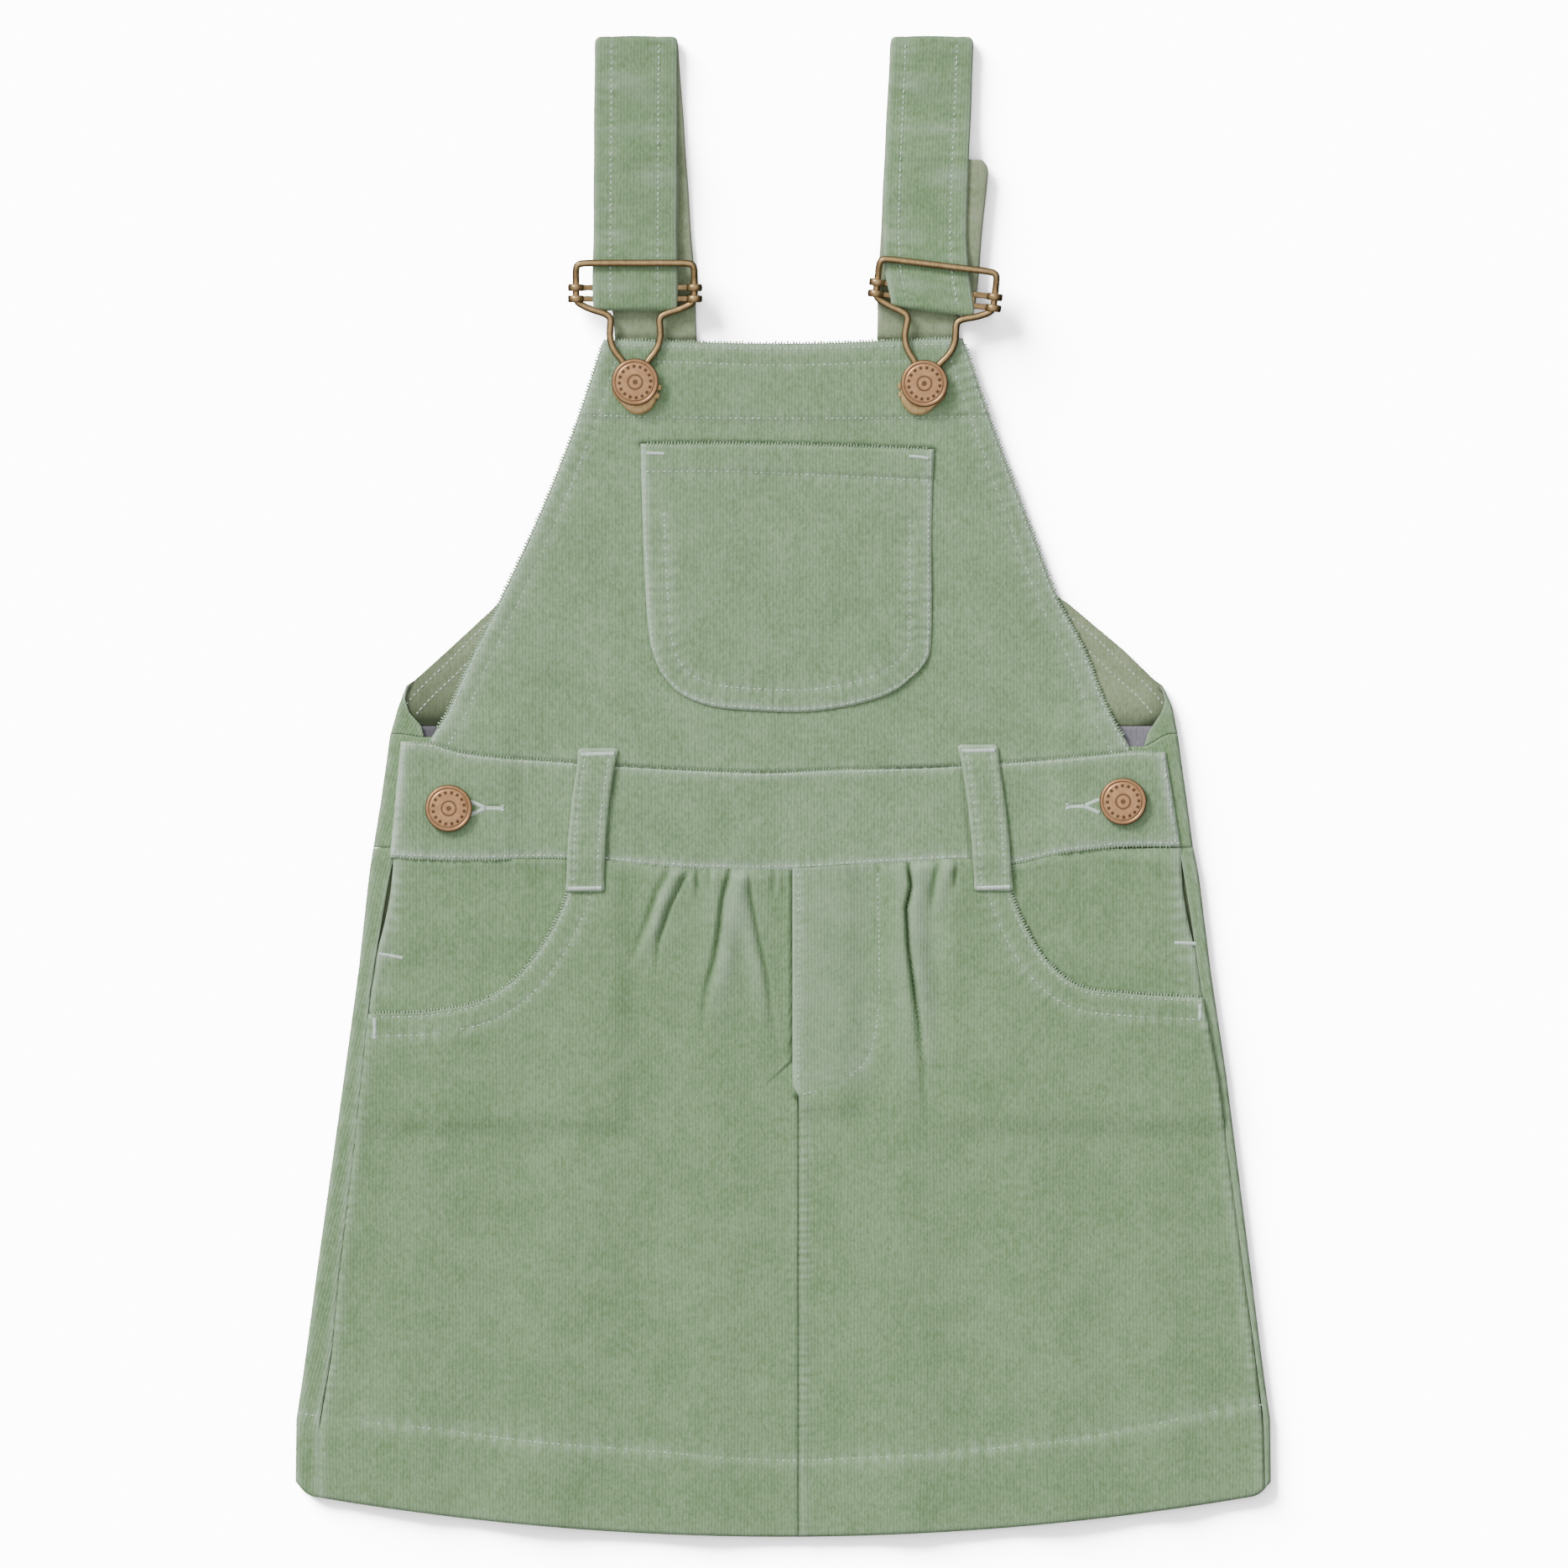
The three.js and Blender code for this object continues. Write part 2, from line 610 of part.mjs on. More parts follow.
// The corners of the top fold draw in a little
const STRAP_ROUNDING = { from: 2.5, slope: 0.25 };
const FRONT_RISE = [
  { y: TOP, z: TAIL_Z },
  { y: 244, z: TAIL_Z },
  { y: 231, z: TAIL_Z + STRAP_STEP },
  { y: 200, z: TAIL_Z + STRAP_STEP },
  { y: 189, z: CROSSBAR.z + (CROSSBAR.thick + STRAP_THICK) / 2 + SEAM },
  { y: 170, z: CROSSBAR.z + (CROSSBAR.thick + STRAP_THICK) / 2 + SEAM },
];

function stationsOn(run, count, height) {
  const points = run.map((p) => new THREE.Vector3(p.x, p.y, p.tilt));
  const line = new THREE.CatmullRomCurve3(points, false, "centripetal");
  return line.getSpacedPoints(count).map((p) => ({ x: p.x, y: p.y, z: height(p.y), tilt: p.z }));
}

// Half turn of the strap about a line across it, from one height to another
function turnOver(at, fromZ, toZ, outward) {
  const radius = Math.abs(toZ - fromZ) / 2;
  const tilt = THREE.MathUtils.degToRad(at.tilt);
  return [30, 60, 90, 120, 150].map((degrees) => {
    const angle = THREE.MathUtils.degToRad(degrees);
    const reach = outward * radius * Math.sin(angle);
    return {
      x: at.x - Math.sin(tilt) * reach,
      y: at.y + Math.cos(tilt) * reach,
      z: mix(fromZ, toZ, (1 - Math.cos(angle)) / 2),
      tilt: at.tilt,
    };
  });
}

function strap({ back, front, tail }) {
  const frontZ = (y) => columnAt(FRONT_RISE, "z", y);
  const stations = [
    ...stationsOn(back, 8, () => STRAP_LOW),
    ...turnOver(back[back.length - 1], STRAP_LOW, TAIL_Z, 1),
    ...stationsOn(front, 18, frontZ),
    ...turnOver(front[front.length - 1], frontZ(front[front.length - 1].y), TAIL_Z, -1),
    ...stationsOn(tail, 6, () => TAIL_Z),
  ];
  const upper = [];
  const lower = [];
  stations.forEach((p, i) => {
    const before = stations[Math.max(0, i - 1)];
    const after = stations[Math.min(stations.length - 1, i + 1)];
    const along = new THREE.Vector3(after.x - before.x, after.y - before.y, after.z - before.z);
    const tilt = THREE.MathUtils.degToRad(p.tilt);
    const across = new THREE.Vector3(Math.cos(tilt), Math.sin(tilt), 0);
    const normal = new THREE.Vector3().crossVectors(across, along).normalize();
    const half = STRAP_HALF - STRAP_ROUNDING.slope * Math.max(0, p.y - TOP + STRAP_ROUNDING.from);
    const middle = new THREE.Vector3(p.x, p.y, p.z);
    const line = [-1, -0.4, 0.4, 1].map((part) => middle.clone().addScaledVector(across, part * half));
    upper.push(line.map((q) => q.clone().addScaledVector(normal, STRAP_THICK / 2).toArray()));
    lower.push(line.map((q) => q.clone().addScaledVector(normal, -STRAP_THICK / 2).toArray()));
  });
  return wall(lower, upper);
}

// Hardware, made about the bib button at its origin

function toSolid(geometry) {
  const bare = geometry.clone();
  bare.deleteAttribute("normal");
  bare.deleteAttribute("uv");
  const merged = mergeVertices(bare, 1e-4);
  const vertProperties = merged.attributes.position.array;
  const triVerts = Uint32Array.from(merged.index.array);
  return new wasm.Manifold(new wasm.Mesh({ numProp: 3, vertProperties, triVerts }));
}

function fromSolid(solid) {
  const mesh = solid.getMesh();
  const geometry = new THREE.BufferGeometry();
  geometry.setAttribute("position", new THREE.BufferAttribute(mesh.vertProperties, 3));
  geometry.setIndex(new THREE.BufferAttribute(mesh.triVerts, 1));
  return geometry;
}

function box(width, depth, height, x, y, z) {
  return toSolid(new THREE.BoxGeometry(width, depth, height).translate(x, y, z));
}

function rod(radius, length, sides, x, y, z) {
  return toSolid(new THREE.CylinderGeometry(radius, radius, length, sides).translate(x, y, z));
}

// Half of the wire on one side, from the middle of the top bar to its end beside the button
const WIRE_HALF = [
  [0, WIRE.top, WIRE.topZ], [10, WIRE.top, WIRE.topZ], [WIRE.half - 2.2, WIRE.top, WIRE.topZ],
  [WIRE.half - 0.5, WIRE.top - 0.7, WIRE.topZ - 0.1], [WIRE.half, WIRE.top - 2.4, WIRE.topZ - 0.8],
  [WIRE.half, 37.4, WIRE.lowZ + 0.1], [WIRE.half, 35, WIRE.lowZ], [WIRE.half, 31, WIRE.lowZ],
  [WIRE.half - 0.6, 28.2, WIRE.lowZ], [15.5, 25, WIRE.lowZ], [10.2, 23.2, WIRE.lowZ],
  [8.4, 21.6, WIRE.lowZ], [8.9, 18, WIRE.lowZ], [7.8, 13, WIRE.lowZ], [4.9, 8, WIRE.lowZ],
  [3.9, 5.6, WIRE.lowZ],
];

function buckle() {
  const mirrored = WIRE_HALF.slice(1).reverse().map(([x, y, z]) => [-x, y, z]);
  const points = [...mirrored, ...WIRE_HALF].map(([x, y, z]) => new THREE.Vector3(x, y, z));
  const path = new THREE.CatmullRomCurve3(points, false, "centripetal");
  const round = new THREE.Shape().absarc(0, 0, WIRE_RADIUS, 0, Math.PI * 2, false);
  const settings = { extrudePath: path, steps: 48, curveSegments: 4, bevelEnabled: false };
  return new THREE.ExtrudeGeometry(round, settings);
}

function crossbar() {
  const { y, half, deep, thick, z, lug, lugWall } = CROSSBAR;
  const reach = WIRE.half - (WIRE_RADIUS + lugWall) / 2;
  let solid = box(half * 2, deep, thick, 0, y, z);
  for (const sign of [-1, 1]) {
    for (const row of [-1, 1]) {
      const lugY = y + row * (deep - lug) / 2;
      solid = solid.add(box(reach - half + 2, lug, thick, sign * ((reach + half) / 2 - 1), lugY, z));
      solid = solid.add(rod(WIRE_RADIUS + lugWall, lug, 10, sign * WIRE.half, lugY, WIRE.lowZ));
    }
    solid = solid.subtract(rod(WIRE_RADIUS + SEAM, deep + 2, 10, sign * WIRE.half, y, WIRE.lowZ));
  }
  return fromSolid(solid);
}

const PLATE = { radius: 8.4, drop: 3.5, thick: 1, low: 4.1, hole: 2.9 };
const PLATE_EAR = { x: 8.3, y: -2.4, width: 2.4, deep: 3.2 };

function keyholePlate() {
  const shape = new THREE.Shape().absarc(0, -PLATE.drop, PLATE.radius, 0, Math.PI * 2, false);
  const hole = new THREE.Path().absarc(0, 0, PLATE.hole, 0, Math.PI * 2, true);
  shape.holes.push(hole);
  const settings = { depth: PLATE.thick, curveSegments: 10, bevelEnabled: false };
  let solid = toSolid(new THREE.ExtrudeGeometry(shape, settings).translate(0, 0, PLATE.low));
  const { x, y, width, deep } = PLATE_EAR;
  for (const sign of [-1, 1]) {
    solid = solid.add(box(width, deep, PLATE.thick, sign * x, y, PLATE.low + PLATE.thick / 2));
  }
  return fromSolid(solid);
}

// Jeans button: a neck and a cap with a raised rim round a low dome
function button(base, cap) {
  const profile = [
    [0, base], [NECK_RADIUS, base], [NECK_RADIUS, cap], [CAP_RADIUS - 0.9, cap],
    [CAP_RADIUS, cap + 0.7], [CAP_RADIUS, cap + 1.5], [CAP_RADIUS - 0.6, cap + 2.2],
    [CAP_RADIUS - 1.5, cap + 2.2], [CAP_RADIUS - 2.1, cap + 1.7], [CAP_RADIUS / 2, cap + 1.9], [0, cap + 2.1],
  ].map(([r, z]) => new THREE.Vector2(r, z));
  return new THREE.LatheGeometry(profile, 16).rotateX(Math.PI / 2);
}

add("back_skirt", backSkirt(), SAGE);
add("back_waistband", backWaistband(), SAGE);
add("back_bodice", backBodice(), SAGE_INSIDE);
add("pocket_bag_left", pocketBag("left"), SAGE);
add("pocket_bag_right", pocketBag("right"), SAGE);
add("front_skirt_left", frontSkirt("left"), SAGE);
add("front_skirt_right", frontSkirt("right"), SAGE);
add("front_waistband", frontWaistband(), SAGE);
add("bib", bib(), SAGE);
add("bib_pocket", bibPocket(), SAGE);
for (const loop of BELT_LOOPS) add(loop.name, beltLoop(loop), SAGE);
for (const shape of STRAPS) add(shape.name, strap(shape), SAGE);
for (const { side, x, y, turn } of BUCKLES) {
  const pieces = { buckle: buckle(), crossbar: crossbar(), keyhole_plate: keyholePlate() };
  for (const [piece, geometry] of Object.entries(pieces)) {
    const mesh = add(`${piece}_${side}`, geometry, BRASS);
    mesh.position.set(x, y, 0);
    mesh.rotation.z = THREE.MathUtils.degToRad(turn);
  }
}
for (const { name, x, y, base, cap } of BUTTONS) add(name, button(base, cap), BRASS).position.set(x, y, 0);

export default dress;
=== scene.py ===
"""A child's needlecord pinafore dress, laid flat with its front upward.

Lengths are in millimetres until a mesh is made.
"""
import json
import math

import bpy
import numpy as np
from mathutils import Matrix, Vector

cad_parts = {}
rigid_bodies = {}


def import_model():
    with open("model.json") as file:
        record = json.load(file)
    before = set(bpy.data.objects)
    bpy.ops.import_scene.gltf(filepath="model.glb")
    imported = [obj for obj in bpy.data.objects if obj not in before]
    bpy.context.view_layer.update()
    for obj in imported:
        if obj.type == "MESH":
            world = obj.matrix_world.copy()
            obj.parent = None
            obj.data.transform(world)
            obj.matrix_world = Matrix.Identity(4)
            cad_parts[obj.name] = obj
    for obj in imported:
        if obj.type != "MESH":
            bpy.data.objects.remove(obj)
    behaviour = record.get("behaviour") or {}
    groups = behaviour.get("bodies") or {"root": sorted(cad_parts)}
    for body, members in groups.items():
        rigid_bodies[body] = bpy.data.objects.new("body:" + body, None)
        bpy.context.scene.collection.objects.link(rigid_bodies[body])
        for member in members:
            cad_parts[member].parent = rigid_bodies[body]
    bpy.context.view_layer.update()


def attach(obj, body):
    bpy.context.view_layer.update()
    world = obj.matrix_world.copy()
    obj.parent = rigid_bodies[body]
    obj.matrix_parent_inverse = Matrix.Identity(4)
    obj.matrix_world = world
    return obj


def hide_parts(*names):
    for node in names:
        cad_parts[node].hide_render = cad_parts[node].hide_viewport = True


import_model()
MM = 0.001
rng = np.random.default_rng(7)

# Sizes shared with the solids
CLOTH = 1.2
SEAM = 0.3
TUCK = 0.1
FOLD_GAP = 0.4
BAND_THICK = 2.0
FACED_THICK = 2.0
STRAP_THICK = 1.5
STRAP_HALF = 15.2
HEM_LOW = -273.7
HEM_RISE = 0.0005
HEM_CORNER_FROM = 171
HEM_CORNER_WIDTH = 7
HEM_CORNER_RISE = 8
TOP = 273.7
FRONT_LOW = CLOTH + FOLD_GAP
OVER_LOW = FRONT_LOW + CLOTH + SEAM
BIB_LOW = STRAP_THICK + SEAM
STRAP_STEP = STRAP_THICK + SEAM
CROSSBAR_Z = 4.2
CROSSBAR_THICK = 1.2
BAND_BACK_TOP = 18.3
BAND_BACK_BOTTOM = -22.3
BAND_BACK_REACH = 104
# How far a sewn edge runs on under the waistband
UNDER_BAND = 0.6

# Sewing
# Share of an edge's rounding that is left where it is sewn to its neighbour
SEAM_SHARE = 0.35
STITCH_PITCH = 2.05
STITCH_LENGTH = 1.5
SATIN_PITCH = 0.42
THREAD_RADIUS = 0.27
WALE_PITCH = 1.21
# How far in a panel's rim is brushed pale
RIM_WEAR_HALF = 1.9

# Side folds: height, left reach, right reach
SIDES = np.array([
    (66.5, -105, 105), (48, -124.5, 126.5), (36, -137.5, 138.5), (28, -140.5, 142), (17.5, -143.5, 144),
    (-7, -147, 147.5), (-22, -149.5, 149.5), (-31.5, -151, 151.5), (-68, -155, 156), (-105, -160, 161.5),
    (-178, -170, 170.5), (-238, -177.6, 177.6), (-274, -178, 178),
])
# Side seams: height, left place, right place
SEAMS = np.array([
    (-22, -141.5, 144.5), (-46.5, -146, 148.5), (-74, -150.5, 152.5), (-105, -153.5, 158.5),
    (-141.5, -157.5, 163.2), (-179, -162, 168), (-207, -164.5, 171.8), (-234, -169, 175), (-274, -169.5, 176),
])
# Turned edge under the arm: height, how far it comes round onto the front
UNDERARM = np.array([(66.5, -2), (38, -2), (35.5, 0.4), (31, 1.3), (26.2, 4.5), (22.2, 10), (17.5, 12.5)])
# Upper outline of the back bodice: height, half width
BACK_EDGE = np.array([(118, 66), (100, 75), (80, 91), (66.5, 103)])

BAND_TOP = [(-139.5, 16.5), (-129, 16), (-116.5, 12.5), (-75, 9), (-10.5, 5.5), (22, 6.5), (64.5, 8), (102, 10.5),
            (129, 13), (139.5, 12.5)]
BAND_BOTTOM = [(-143.5, -26), (-120, -27), (-79.5, -26.5), (-53, -28.5), (-32.5, -30), (1, -30.5), (33.5, -28.5),
               (68.5, -27), (82.5, -28.5), (102, -24.5), (124.5, -22), (145, -22)]
BIB_LEFT = [(-65.5, 163), (-75, 134), (-84.5, 109.5), (-92.5, 91), (-105, 64.5), (-114.5, 45.5), (-122.5, 27.5),
            (-129, 16.6)]
BIB_RIGHT = [(65.5, 163.5), (75.5, 134), (84.5, 109.5), (91.5, 91), (100, 69), (109.5, 51), (119, 27.5),
             (127, 13.3)]
BIB_TOP = [(-65.5, 163), (0, 161.5), (65.5, 163.5)]
FACING_DEPTH = 28
POCKET_TOP = [(-52, 125), (-26, 125.2), (12, 124.6), (55, 123)]
POCKET_LEFT = [(-52, 125), (-51.5, 102.5), (-49.5, 60.5), (-48, 50), (-45, 42)]
POCKET_RIGHT = [(55, 123), (54.2, 95), (54, 54), (53, 47), (49.5, 42)]
POCKET_BOTTOM = [(-45, 42), (-38.5, 34.5), (-27.5, 29.5), (-10, 27.6), (8, 27.2), (27, 30), (40, 34.5), (49.5, 42)]
SCOOP_LEFT = [(-78.5, -27), (-78.5, -38), (-86, -55), (-97, -69.5), (-108.5, -77.5), (-128, -82), (-151.2, -83)]
SCOOP_RIGHT = [(82.5, -29), (83, -37.5), (88, -50.5), (97, -64.5), (108.5, -73), (126, -75.5), (153, -77)]
BAG_INNER = 68
BAG_BOTTOM = -113
LAP_EDGE = 3.4
LAP_UNDER = 20
LAP_FOOT = -109
LAP_SEAM = 5.7

# Long waves from waist to hem: x at the waist, x at the hem, half width, height
WAVES = [(-120, -136, 13, 0.9), (-62, -92, 16, 1.3), (-18, -30, 13, 0.9), (38, 46, 14, 1.1), (78, 104, 15, 1.2),
         (128, 143, 12, 0.8)]


# Numbers and lines

def mix(a, b, t):
    return a + (b - a) * t


def smooth(low, high, value):
    t = np.clip((np.asarray(value, float) - low) / (high - low), 0, 1)
    return t * t * (3 - 2 * t)


def bell(away, half):
    """1 in the middle, falling smoothly away on both sides. half: where 37 percent is left."""
    return np.exp(-((away / half) ** 2))


def column(table, index, y):
    order = np.argsort(table[:, 0])
    return np.interp(y, table[order, 0], table[order, index])


def curve_through(points, samples=40):
    """Fine points on a centripetal Catmull-Rom line through the given ones."""
    p = np.array(points, float)
    p = np.vstack([2 * p[0] - p[1], p, 2 * p[-1] - p[-2]])
    out = []
    for i in range(1, len(p) - 2):
        knots = [0.0]
        for a, b in ((i - 1, i), (i, i + 1), (i + 1, i + 2)):
            knots.append(knots[-1] + math.sqrt(np.linalg.norm(p[b] - p[a])))
        t = np.linspace(knots[1], knots[2], samples, endpoint=False)[:, None]
        k0, k1, k2, k3 = knots
        a1 = (k1 - t) / (k1 - k0) * p[i - 1] + (t - k0) / (k1 - k0) * p[i]
        a2 = (k2 - t) / (k2 - k1) * p[i] + (t - k1) / (k2 - k1) * p[i + 1]
        a3 = (k3 - t) / (k3 - k2) * p[i + 1] + (t - k2) / (k3 - k2) * p[i + 2]
        b1 = (k2 - t) / (k2 - k0) * a1 + (t - k0) / (k2 - k0) * a2
        b2 = (k3 - t) / (k3 - k1) * a2 + (t - k1) / (k3 - k1) * a3
        out.append((k2 - t) / (k2 - k1) * b1 + (t - k1) / (k2 - k1) * b2)
    return np.vstack([*out, p[-2:-1]])


def lengths_of(line):
    return np.concatenate([[0], np.cumsum(np.linalg.norm(np.diff(line, axis=0), axis=1))])


def spaced(points, count):
    """Evenly spaced points on the smooth line through the given ones."""
    fine = curve_through(points)
    along = lengths_of(fine)
    places = np.linspace(0, along[-1], count + 1)
    return np.stack([np.interp(places, along, fine[:, axis]) for axis in range(fine.shape[1])], axis=1)


def height_on(points, x):
    fine = curve_through(points)
    return np.interp(x, fine[:, 0], fine[:, 1])


def stretch_of(points, from_x, to_x, count, drop=0.0):
    x = np.linspace(from_x, to_x, count + 1)
    return np.stack([x, height_on(points, x) - drop], axis=1)


def hem_height(x):
    corner = np.clip((np.abs(x) - HEM_CORNER_FROM) / HEM_CORNER_WIDTH, 0, 1)
    return HEM_LOW + HEM_RISE * np.asarray(x) ** 2 + HEM_CORNER_RISE * (1 - np.sqrt(1 - corner ** 2))


def beside(points, distance, count=60):
    """A line at a distance to the right of the given one, as seen going along it."""
    line = spaced(points, count)
    along = np.gradient(line, axis=0)
    along /= np.linalg.norm(along, axis=1)[:, None]
    return line + distance * np.stack([along[:, 1], -along[:, 0]], axis=1)


def between(top, bottom, left, right):
    """Plan grid inside four edges."""
    s = np.linspace(0, 1, len(top))[None, :, None]
    t = np.linspace(0, 1, len(left))[:, None, None]
    across = mix(left[:, None], right[:, None], s)
    down = mix(top[None], bottom[None], t)
    return across + down - mix(mix(top[0], top[-1], s), mix(bottom[0], bottom[-1], s), t)


def ripple(x, y, scale, seed):
    """Smooth uneven surface between about -1 and 1, waves of about scale long."""
    turn = np.random.default_rng(seed)
    total = np.zeros(np.broadcast(x, y).shape)
    for _ in range(5):
        angle = turn.uniform(0, math.pi)
        length = scale * turn.uniform(0.7, 1.5)
        phase = turn.uniform(0, 2 * math.pi)
        total += np.sin((x * math.cos(angle) + y * math.sin(angle)) * 2 * math.pi / length + phase)
    return total / 3


def ripple_along(place, scale, seed):
    return ripple(place, place * 0, scale, seed)


def near_line(x, y, line, limit=16):
    """Distance to a line, and how far along it the nearest point is. Points past the limit are left out."""
    x, y = np.broadcast_arrays(np.asarray(x, float), np.asarray(y, float))
    away = np.full(x.shape, 1e3)
    places = np.zeros(x.shape)
    low, high = line.min(axis=0) - limit, line.max(axis=0) + limit
    close = (x > low[0]) & (x < high[0]) & (y > low[1]) & (y < high[1])
    flat = np.stack([x[close], y[close]], axis=1)
    best = np.full(len(flat), 1e3)
    place = np.zeros(len(flat))
    along = lengths_of(line)
    for i in range(len(line) - 1):
        step = line[i + 1] - line[i]
        reach = float(step @ step)
        if reach == 0:
            continue
        t = np.clip((flat - line[i]) @ step / reach, 0, 1)
        gap = np.linalg.norm(flat - line[i] - t[:, None] * step, axis=1)
        closer = gap < best
        best[closer] = gap[closer]
        place[closer] = along[i] + t[closer] * (along[i + 1] - along[i])
    away[close] = best
    places[close] = place
    return away, places


# Materials

class Nodes:
    """Short ways to add nodes to a material's or the world's tree."""

    def __init__(self, tree):
        self.nodes = tree.nodes
        self.links = tree.links

    def feed(self, socket, value):
        """Sets a socket to a number or colour, or links another node's output to it."""
        if isinstance(value, (int, float)):
            socket.default_value = value
        elif isinstance(value, tuple):
            socket.default_value = (*value, 1)
        else:
            self.links.new(value, socket)

    def math(self, operation, *values, clamp=False):
        node = self.nodes.new("ShaderNodeMath")
        node.operation = operation
        node.use_clamp = clamp
        for socket, value in zip(node.inputs, values):
            self.feed(socket, value)
        return node.outputs[0]

    def noise(self, vector, scale, detail, roughness=0.55):
        node = self.nodes.new("ShaderNodeTexNoise")
        for name, value in (("Vector", vector), ("Scale", scale), ("Detail", detail), ("Roughness", roughness)):
            self.feed(node.inputs[name], value)
        return node.outputs["Fac"]

    def blend(self, amount, first, second):
        node = self.nodes.new("ShaderNodeMix")
        node.data_type = "RGBA"
        for name, value in (("Factor", amount), ("A", first), ("B", second)):
            self.feed(node.inputs[name], value)
        return node.outputs["Result"]

    def attribute(self, name):
        node = self.nodes.new("ShaderNodeAttribute")
        node.attribute_name = name
        return node.outputs["Fac"]

    def position(self, along=1):
        """Place on the object, drawn out along Y."""
        place = self.nodes.new("ShaderNodeTexCoord")
        mapping = self.nodes.new("ShaderNodeMapping")
        mapping.inputs["Scale"].default_value = (1, along, 1)
        self.links.new(place.outputs["Object"], mapping.inputs["Vector"])
        return mapping.outputs["Vector"]

    def bump(self, shader, height, strength, distance):
        node = self.nodes.new("ShaderNodeBump")
        node.inputs["Strength"].default_value = strength
        node.inputs["Distance"].default_value = distance
        self.links.new(height, node.inputs["Height"])
        self.links.new(node.outputs["Normal"], shader.inputs["Normal"])


def new_material(name, **settings):
    """A material, its node maker and its shader. settings: the shader's inputs, with _ for a space."""
    material = bpy.data.materials.new(name)
    material.use_nodes = True
    shader = material.node_tree.nodes["Principled BSDF"]
    for label, value in settings.items():
        shader.inputs[label.replace("_", " ")].default_value = value
    return material, Nodes(material.node_tree), shader


def corduroy(name, deep, light, worn, wale_depth=1.0):
    """Needlecord: soft ribs along the cloth, mottled nap, and paler where seams and folds have been brushed. Where the
    shade attribute is set, it is blended towards a dark copy of its colour as painted shade.
    """
    material, make, shader = new_material(name, Roughness=0.92, Specular_IOR_Level=0.15, Sheen_Weight=0.35,
                                          Sheen_Roughness=0.5, Sheen_Tint=(0.8, 0.9, 0.76, 1))
    even = make.position()
    turn = make.math("MULTIPLY_ADD", make.attribute("wale"), 2 * math.pi / WALE_PITCH, make.noise(even, 260, 2))
    rib = make.math("SINE", turn)
    pair = make.math("SINE", make.math("MULTIPLY", turn, 0.5))
    cloud = make.noise(even, 30, 3, 0.6)
    patch = make.noise(even, 130, 4, 0.65)
    fleck = make.noise(make.position(0.55), 950, 3, 0.75)
    tone = make.math("MULTIPLY_ADD", cloud, 0.65, -0.325)
    for part, gain, shift in ((patch, 1.0, -0.5), (fleck, 2.7, -1.35), (rib, 0.06, 0.0), (pair, 0.03, 0.0)):
        tone = make.math("ADD", tone, make.math("MULTIPLY_ADD", part, gain, shift))
    ground = make.blend(make.math("ADD", tone, 0.5, clamp=True), deep, light)
    uneven = make.math("MULTIPLY_ADD", patch, 1.3, 0.2)
    rubbed = make.math("MULTIPLY", make.attribute("wear"), uneven, clamp=True)
    # Painted shade: the colour goes towards a dark copy of the cloth's colour in creases, gaps and where parts lie on
    # each other.
    painted_shade_colour = tuple(0.2 * part for part in deep)
    colour = make.blend(make.attribute("shade"), make.blend(rubbed, ground, worn), painted_shade_colour)
    make.feed(shader.inputs["Base Color"], colour)
    height = make.math("MULTIPLY", rib, 0.34)
    for part, gain in ((fleck, 1.2), (patch, 0.8)):
        height = make.math("ADD", height, make.math("MULTIPLY", part, gain))
    make.bump(shader, height, 0.5 * wale_depth, 0.00025)
    return material


def aged_metal(name, deep, light):
    """Brushed, aged metal, stained dark in its hollows, with painted shade along its sides."""
    material, make, shader = new_material(name, Metallic=0.82)
    cloud = make.noise(make.position(), 420, 4, 0.6)
    scratch = make.noise(make.position(6), 1500, 3, 0.6)
    metal = make.blend(make.math("MULTIPLY_ADD", cloud, 1.1, 0.14, clamp=True), deep, light)
    # Towards near black where the point attribute says: stains and print, and painted shade on the sides of wires,
    # rings and button rims and under the buttons.
    make.feed(shader.inputs["Base Color"], make.blend(make.attribute("wear"), metal, (0.035, 0.02, 0.012)))
    make.feed(shader.inputs["Roughness"], make.math("MULTIPLY_ADD", scratch, 0.25, 0.26))
    make.bump(shader, scratch, 0.15, 0.00005)
    return material


def thread():
    """Pale mint polyester thread."""
    material, make, shader = new_material("pale_thread", Roughness=0.6, Sheen_Weight=0.2)
    cloud = make.noise(make.position(), 700, 2)
    make.feed(shader.inputs["Base Color"], make.blend(cloud, (0.64, 0.80, 0.70), (0.93, 1.0, 0.95)))
    return material


SAGE = corduroy("sage_corduroy", (0.19, 0.32, 0.145), (0.325, 0.482, 0.268), (0.58, 0.72, 0.56))
SAGE_BIB = corduroy("sage_corduroy_bib", (0.205, 0.335, 0.165), (0.36, 0.515, 0.305), (0.60, 0.74, 0.58))
SAGE_BACK = corduroy("sage_cloth_wrong_side", (0.255, 0.33, 0.18), (0.40, 0.475, 0.295), (0.5, 0.56, 0.42), 0.4)
BAND_INSIDE = corduroy("grey_band_inside", (0.25, 0.24, 0.29), (0.38, 0.36, 0.42), (0.5, 0.5, 0.53), 0.3)
BRASS = aged_metal("antique_brass", (0.2, 0.115, 0.042), (0.9, 0.61, 0.29))
# A darker copy of the brass, painted shade for the lug tails.
DARK_BRASS = aged_metal("brass_painted_shade", (0.11, 0.065, 0.026), (0.52, 0.35, 0.17))
COPPER = aged_metal("antique_copper", (0.38, 0.18, 0.075), (0.86, 0.49, 0.25))
THREAD = thread()


# Meshes

